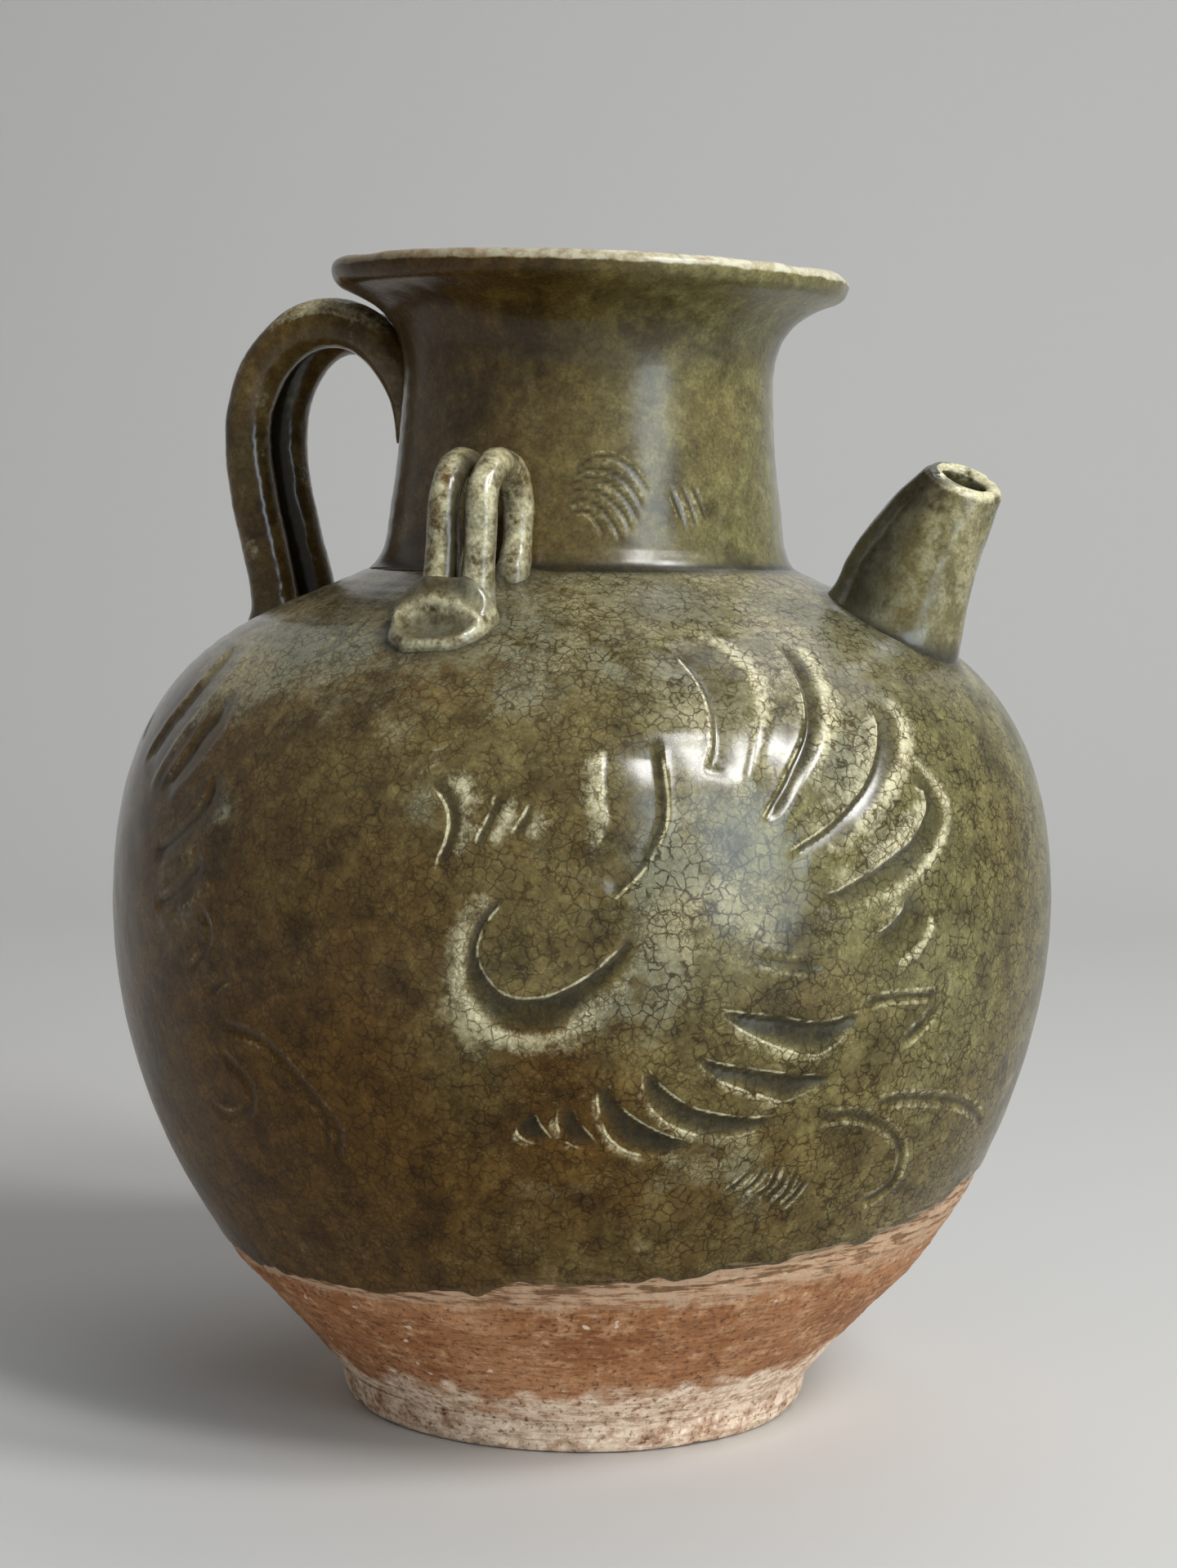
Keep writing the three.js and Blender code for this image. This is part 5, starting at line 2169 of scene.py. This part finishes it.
@dataclass
class Spout(SubAssembly):
    """The short tapering spout: bowed a little to the neck, with a worn and chipped lip."""

    belly: BellyProfile
    reach: float = 55.5
    length: float = 27.2
    lean: float = 25.3
    bow: float = 1.4
    base_radius: float = 11.8
    tip_radius: float = 6.55
    bulge: float = 0.6
    mouth_rise: float = 1.5
    bore_radius: float = 3.9
    root_bore: float = 7.6
    root: float = 7.0
    root_flare: float = 0.8
    lip_height: float = 1.1
    flutes: int = 9
    columns: int = 132

    def axis(self) -> Points:
        """The unit vector along the straight axis."""
        lean = math.radians(self.lean)
        return np.array([math.sin(lean), 0, math.cos(lean)])

    def middle(self, distance: Points) -> Points:
        """The middle line, a parabola over the straight axis.

        Args:
            distance: Distances from the shoulder along the axis.

        Returns:
            Points with shape (n, 3).
        """
        base = np.array([self.reach, 0, float(self.belly.height_at(self.reach))])
        axis = self.axis()
        inward = np.array([-axis[2], 0, axis[0]])
        share = distance / self.length
        bow = self.bow * 4 * share * (1 - share)
        return base + distance[:, None] * axis + bow[:, None] * inward

    def lengthwise(self) -> tuple[list[Points], list[Points]]:
        """The distances along the axis and the radii: outside, lip and bore.

        The radius falls evenly from base to tip, plus a half sine of bulge. The lip is a
        half ellipse between the outside and the bore.
        """
        outer = np.linspace(-self.root, self.length - self.lip_height, 90)
        share = np.clip(outer / self.length, 0, 1)
        radius = self.base_radius + (self.tip_radius - self.base_radius) * share
        radius = radius + self.bulge * np.sin(np.pi * share)
        turn = np.linspace(0, np.pi, 20)[1:-1]
        half_wall = (self.tip_radius - self.bore_radius) / 2
        lip_radius = self.tip_radius - half_wall * (1 - np.cos(turn))
        lip = self.length - self.lip_height + self.lip_height * np.sin(turn)
        inner = np.linspace(self.length - self.lip_height - 0.1, -self.root, 44)
        flare = np.clip(1 - inner / self.length, 0, 1)
        bore = self.bore_radius + (self.root_bore - self.bore_radius) * flare
        return [outer, lip, inner], [radius, lip_radius, bore]

    def build(self) -> None:
        """Carries the outside up to the lip, over it and down the bore.

        The mouth is cut aslant: with s the share of the length, points move along the
        axis by rise times y/radius times s^6.
        """
        distances, radii = self.lengthwise()
        distance = np.concatenate(distances)
        outer, lip = len(distances[0]), len(distances[1])
        axis = self.axis()
        out = np.array([axis[2], 0, -axis[0]])
        angle = from_zero(self.columns)
        ring = np.cos(angle)[:, None] * out + np.sin(angle)[:, None] * (0, 1, 0)
        number = np.arange(len(distance))
        root = self.root_flare * bell(distance + 0.2, 1.5) * (number < outer)
        radial = np.concatenate(radii)[:, None] + root[:, None] * (1 - np.cos(angle)) / 2
        grid = self.middle(distance)[:, None] + ring * radial[..., None]
        share = np.clip(distance / self.length, 0, 1)[:, None]
        rise = self.mouth_rise * grid[..., 1] / self.tip_radius * share**6
        grid = grid + rise[..., None] * axis
        normal = normals_of(grid, True)
        on_lip = bell(distance - self.length, 1.5)[:, None]
        chips = smoothstep(ripple(grid, 3.0, 63), 0.4, 1.4) * on_lip
        uneven = rippled(grid, (0.14, 14, 61), (0.05, 4, 62))
        flutes = np.cos(self.flutes * angle + 1.1 + 2 * ripple(grid, 30, 65))
        moved = uneven + 0.07 * flutes * (1 - on_lip) - 0.45 * chips
        grid = grid + normal * moved[..., None]
        outside = (number < outer + lip // 2).astype(float)[:, None]
        base = bell(np.maximum(distance + 1.0, 0), 2.6)[:, None]
        # Painted shade: dark down inside the bore, and on the side towards the camera's left,
        # away from the lamps.
        deep = smoothstep(self.length - distance, 0.8, 3.5)[:, None] * (1 - outside)
        shaded = smoothstep(-0.84 * np.cos(angle) - 0.37 * np.sin(angle), 0.0, 0.85)
        values = {
            "pool": np.maximum(np.maximum(base, 0.95 * shaded) * outside, deep),
            "thin": np.clip(on_lip * (0.8 + 0.4 * ripple(grid, 3, 64)), 0, 1),
        }
        surface = Surface(grid, caps=(False, True), values=values)
        piece_from("spout_glazed", surface, self.finishes.spout, Slot.PALE, "spout")


@dataclass
class Lug(SubAssembly):
    """A pair of upright loops on the shoulder, rooted in a pad pressed by a thumb.

    Sizes are in the lug's own frame, where it stands towards -Y; turn brings it round.
    """

    belly: BellyProfile
    neck: Neck
    name: str
    turn: float
    seed: int
    radius: float = 2.65
    spacing: float = 6.4
    reach: float = 52.7
    crown: float = 161.8
    arch: float = 8.2
    clearance: float = 1.2
    heel: float = 40.2
    root: float = 2.5
    pad_reach: float = 56.0
    pad_offset: float = -1.9
    pad_half: tuple[float, float] = (8.9, 8.3)
    pad_thickness: float = 2.5
    pad_wedge: float = 2.9
    pad_depth: float = 1.5
    pad_columns: int = 170
    pad_rows: int = 70
    rows: int = 210

    def turned(self, grid: Points) -> Points:
        """Turns points round the jug's axis to this lug's side."""
        c, s = math.cos(self.turn), math.sin(self.turn)
        x, y = grid[..., 0], grid[..., 1]
        return np.stack([c * x - s * y, s * x + c * y, grid[..., 2]], -1)

    def loop_line(self) -> Points:
        """The middle line of a loop, as (-reach, height): leg, arch and curved heel."""
        spring = self.crown - self.arch
        rear = self.neck.radius_at(spring) + self.clearance + self.radius
        middle = (self.reach + rear) / 2
        run, rise = (self.reach - rear) / 2 * KAPPA, self.arch * KAPPA
        toe_height, heel_height = (
            float(self.belly.height_at(reach)) - self.root for reach in (self.reach, self.heel)
        )
        heel_rise = spring - heel_height
        toe = (-(self.reach + 0.4 * self.radius), toe_height)
        front, crown, back = (-self.reach, spring), (-middle, self.crown), (-rear, spring)
        line = joined(
            np.linspace(toe, front, 40),
            bezier((front, (-self.reach, spring + rise),
                    (-(middle + run), self.crown), crown), 50),
            bezier((crown, (-(middle - run), self.crown), (-rear, spring + rise), back), 50),
            bezier((back, (-rear, spring - 0.55 * heel_rise),
                    (-self.heel, heel_height + 0.45 * heel_rise),
                    (-self.heel, heel_height)), 50),
        )
        return resampled(line, self.rows)

    def loop(self, side: Side, seed: int) -> Surface:
        """Rolls one loop, thicker at both roots and a little uneven.

        Args:
            side: The side of the pair.
            seed: The seed of its unevenness.

        Returns:
            The surface with the values that the glaze reads.
        """
        flat = self.loop_line()
        x = side.value * self.spacing / 2
        line = np.stack([np.full(len(flat), x), flat[:, 0], flat[:, 1]], -1)
        u = np.linspace(0, 1, len(line))
        heel = bell(1 - u, 0.08)
        radius = self.radius + 0.6 * bell(u, 0.16) + 0.5 * heel
        grid = strand(line, (1, 0, 0), radius, 48)
        normal = normals_of(grid, True)
        uneven = rippled(grid, (0.12, 9, seed), (0.04, 2.5, seed + 1)) - 0.1
        grid = grid + normal * uneven[..., None]
        # Painted light and shade: the outward faces are lighter, and the faces that look at the
        # other loop and those turned to the neck below the crown are dark.
        lit_out_side = smoothstep(-normal[..., 1], -0.3, 0.7)
        shaded_facing_pair = smoothstep(-side.value * normal[..., 0], 0.35, 0.95)
        below_crown = smoothstep(self.crown + 0.5 - grid[..., 2], 0, 4)
        back = smoothstep(normal[..., 1], -0.1, 0.6) * below_crown
        root = (0.7 * heel)[:, None]
        mottled = 0.14 * ripple(grid, 4, seed + 2)
        values = {
            "pool": np.clip(np.maximum(0.8 * shaded_facing_pair, np.maximum(0.7 * back, root)), 0, 1),
            "thin": np.clip(0.75 * lit_out_side * (1 - shaded_facing_pair) + mottled, 0, 1),
        }
        return Surface(self.turned(grid), caps=(True, True), values=values)

    def on_slope(self, u: Points, v: Points) -> tuple[Points, Points]:
        """The places and normals on the shoulder round the pad's middle.

        Args:
            u: Distances sideways.
            v: Distances uphill along the outline.

        Returns:
            The places and the unit normals, both with a last axis of three.
        """
        middle = self.belly.along(self.belly.height_at(self.pad_reach))
        spot, normal = self.belly.at(middle + v)
        turn = (self.pad_offset + u) / spot[..., 0]
        round_it = np.stack([np.sin(turn), -np.cos(turn)], -1)
        return tuple(
            np.concatenate([round_it * pair[..., :1], pair[..., 1:]], -1)
            for pair in (spot, normal)
        )

    def pad(self, seed: int) -> Surface:
        """Lays the pad on the shoulder: a raised rim round a thumb-pressed dish.

        The pad is a polar grid on the slope. With r the share of the way to its outline
        and v the way uphill, it stands as a rounded edge (1 - r^6)^0.5 times a thickness
        that grows uphill like a wedge, less the dish, plus a ridge over the dish, a pinched
        lower rim and slip that climbs the toes of the loops.

        Args:
            seed: The seed of its outline.

        Returns:
            The surface with the values that the glaze reads.
        """
        angle = from_zero(self.pad_columns)
        share = np.linspace(1, 0.02, self.pad_rows)[:, None]
        half_x, half_y = self.pad_half
        circle = np.stack([9 * np.cos(angle), 9 * np.sin(angle), 0 * angle], -1)
        outline = 1 + 0.035 * np.cos(3 * angle + 0.6) + 0.02 * np.cos(5 * angle + seed)
        outline += 0.025 * ripple(circle, 4, seed)
        u = share * outline * half_x * np.cos(angle)
        v = share * outline * half_y * np.sin(angle)
        base, away = self.on_slope(u, v)
        rounded = np.sqrt(1 - share**6) * np.ones(self.pad_columns)
        wedge = self.pad_thickness + self.pad_wedge * smoothstep(v, -2.5, 4)
        dish = np.exp(-(np.hypot((u + 0.2) / 6.2, (v + 3.6) / 3.1) ** 4))
        over_dish = v + 2.2 * ((u + 0.1) / 8) ** 2
        arch = bell(over_dish, 0.9) * smoothstep(share, 1.0, 0.9)
        hollow = bell(np.hypot(u / 3.4, (v - 5.0) / 2.2), 1.0)
        toe = 1.25 * (self.pad_reach - self.reach) - 0.4
        toes = sum(
            bell(np.hypot(self.pad_offset + u - x, v - toe), 3.2)
            for x in (-self.spacing / 2, self.spacing / 2)
        )
        toes = toes * smoothstep(share, 1.0, 0.78)
        pinch = bell(share - 0.86, 0.1) * smoothstep(v, 2.5, -2.0)
        uneven = rippled(base, (0.12, 6, seed), (0.05, 2, seed + 1))
        lift = rounded * (wedge - 1.5 * dish + 0.6 * arch - 0.7 * hollow + 2.1 * toes + uneven)
        lift += 0.45 * pinch * rounded
        under = base[:-1:6] - away[:-1:6] * self.pad_depth
        whole = np.concatenate([under[::-1], base + away * lift[..., None]])
        rim = bell(share - 0.93, 0.07) * smoothstep(v, 3, 0)
        slope = 0.6 * smoothstep(over_dish, 0.7, 2.2) * smoothstep(u, 6.5, 3.5)
        glassy = np.maximum(0.45 * dish, slope)
        closed = np.ones(under.shape[:2])
        values = {
            "pool": np.concatenate([closed, np.clip(glassy * (1 - rim) - 0.5 * arch, 0, 1)]),
            "thin": np.concatenate([0 * closed, np.clip(0.7 * rim + 0.95 * arch, 0, 1)]),
        }
        return Surface(self.turned(whole), caps=(True, True), values=values)

    def build(self) -> None:
        """Makes both loops and the pad."""
        for piece, node, surface in (
            ("left_loop", "left_strand", self.loop(Side.NEAR, self.seed)),
            ("right_loop", "right_strand", self.loop(Side.FAR, self.seed + 5)),
            ("thumb_pad", "pad", self.pad(self.seed + 10)),
        ):
            name, node = f"{self.name}_{piece}", f"{self.name}_{node}"
            piece_from(name, surface, self.finishes.lug, Slot.PALE, node)


# The studio


@dataclass(frozen=True)
class Camera:
    """The photo's camera, found from the vessel's outline and the ellipses of its mouth."""

    place: tuple[float, float, float] = (0.1918, -0.4747, 0.1529)
    azimuth: float = 22.0
    pitch: float = 5.11
    roll: float = 0.96
    lens: float = 67.535
    sensor: float = 36.0
    shift: float = 0.0031

    def build(self) -> None:
        """Places the camera: X to the right, Y up and Z backwards, then rolled."""
        turn, dip, roll = (math.radians(a) for a in (self.azimuth, self.pitch, self.roll))
        right = Vector((math.cos(turn), math.sin(turn), 0))
        ahead = Vector((-math.sin(turn), math.cos(turn), 0))
        up = math.sin(dip) * ahead + math.cos(dip) * Vector((0, 0, 1))
        view = math.cos(dip) * ahead - math.sin(dip) * Vector((0, 0, 1))
        across = math.cos(roll) * right + math.sin(roll) * up
        rise = -math.sin(roll) * right + math.cos(roll) * up
        data = bpy.data.cameras.new("photo_camera")
        data.sensor_width = self.sensor
        data.lens = self.lens
        data.shift_x = self.shift
        data.clip_start = 0.01
        camera = bpy.data.objects.new("photo_camera", data)
        bpy.context.scene.collection.objects.link(camera)
        turned = Matrix((across, rise, -view)).transposed().to_4x4()
        camera.matrix_world = Matrix.Translation(self.place) @ turned
        bpy.context.scene.camera = camera


@dataclass(frozen=True)
class Softbox:
    """A rectangular lamp at a distance from the vessel, facing it.

    Attributes:
        name: Its name.
        direction: Where it stands, seen from the vessel.
        distance: How far away, in metres.
        size: Its width and height in metres.
        radiance: How bright its face is.
        colour: Its colour.
    """

    name: str
    direction: tuple[float, float, float]
    distance: float
    size: tuple[float, float]
    radiance: float
    colour: Colour = (1.0, 1.0, 1.0)

    def build(self) -> None:
        """Adds the lamp; its power is radiance times pi times its area."""
        data = bpy.data.lights.new(self.name, "AREA")
        data.shape = "RECTANGLE"
        data.size, data.size_y = self.size
        data.energy = self.radiance * math.pi * self.size[0] * self.size[1]
        data.color = self.colour
        lamp = bpy.data.objects.new(self.name, data)
        bpy.context.scene.collection.objects.link(lamp)
        away = Vector(self.direction).normalized()
        lamp.location = Vector((0, 0, 0.12)) + away * self.distance
        lamp.rotation_euler = away.to_track_quat("Z", "Y").to_euler()


@dataclass(frozen=True)
class Studio:
    """The camera, the lamps, the world's light and a plain sweep of floor and wall."""

    camera: Camera = Camera()
    lamps: tuple[Softbox, ...] = (
        Softbox("window_left", (0.61, -0.37, 0.71), 1.2, (0.19, 0.38), 28.0),
        Softbox("window_right", (0.68, -0.10, 0.73), 1.2, (0.20, 0.30), 30.0),
        Softbox("panel_right", (0.86, -0.48, 0.20), 1.3, (0.50, 0.9), 5.0, (0.76, 0.91, 1.0)),
        Softbox("ceiling", (0.15, 0.50, 0.9), 1.6, (1.5, 0.9), 1.3),
    )
    world: float = 0.21
    floor_colour: Colour = (0.60, 0.59, 0.57)
    wall_distance: float = 1.1
    bend: float = 0.5
    height: float = 2.2
    half_width: float = 2.2
    front: float = -1.6

    def build(self) -> None:
        """Builds everything of the studio."""
        self.camera.build()
        for lamp in self.lamps:
            lamp.build()
        world = bpy.data.worlds.new("soft_light")
        world.use_nodes = True
        background = world.node_tree.nodes["Background"]
        background.inputs["Color"].default_value = (0.97, 0.98, 1.0, 1.0)
        background.inputs["Strength"].default_value = self.world
        bpy.context.scene.world = world
        bpy.context.scene.view_settings.view_transform = "Standard"
        self.sweep()

    def sweep(self) -> None:
        """A floor that bends up into a wall through a quarter circle."""
        turn = np.linspace(0, math.pi / 2, 24)
        start = self.wall_distance - self.bend
        bend = np.stack([start + self.bend * np.sin(turn), self.bend * (1 - np.cos(turn))], -1)
        line = np.vstack([[(self.front, 0)], bend, [(self.wall_distance, self.height)]])
        sides = np.array([-self.half_width, self.half_width])
        away = math.radians(self.camera.azimuth)
        ahead = np.array([-math.sin(away), math.cos(away)])
        right = np.array([math.cos(away), math.sin(away)])
        flat = line[:, None, :1] * ahead + sides[None, :, None] * right
        spots = np.concatenate([flat, np.repeat(line[:, None, 1:], 2, axis=1)], -1)
        count = len(line)
        faces = [(2 * i, 2 * i + 1, 2 * i + 3, 2 * i + 2) for i in range(count - 1)]
        mesh = bpy.data.meshes.new("sweep")
        mesh.from_pydata(spots.reshape(-1, 3).tolist(), [], faces)
        mesh.polygons.foreach_set("use_smooth", np.ones(len(faces), bool))
        material = bpy.data.materials.new("sweep_paint")
        material.use_nodes = True
        paint = material.node_tree.nodes["Principled BSDF"].inputs
        paint["Base Color"].default_value = (*self.floor_colour, 1.0)
        paint["Roughness"].default_value = 0.75
        mesh.materials.append(material)
        sweep = bpy.data.objects.new("sweep", mesh)
        bpy.context.scene.collection.objects.link(sweep)


def main() -> None:
    """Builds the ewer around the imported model, dresses it and lights it."""
    logging.basicConfig(level=logging.INFO, format="%(name)s: %(message)s")
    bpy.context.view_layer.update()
    finishes = Finishes()
    belly, neck = Belly(finishes), Neck(finishes)
    for part in (
        belly,
        FootRing(finishes),
        neck,
        Spout(finishes, belly.profile),
        Handle(finishes, belly.profile, neck),
        Lug(finishes, belly.profile, neck, "front_lug", turn=0.0, seed=70),
        Lug(finishes, belly.profile, neck, "rear_lug", turn=math.pi, seed=90),
        Studio(),
    ):
        log.info("building %s", type(part).__name__)
        part.build()


if __name__ == "__main__":
    main()
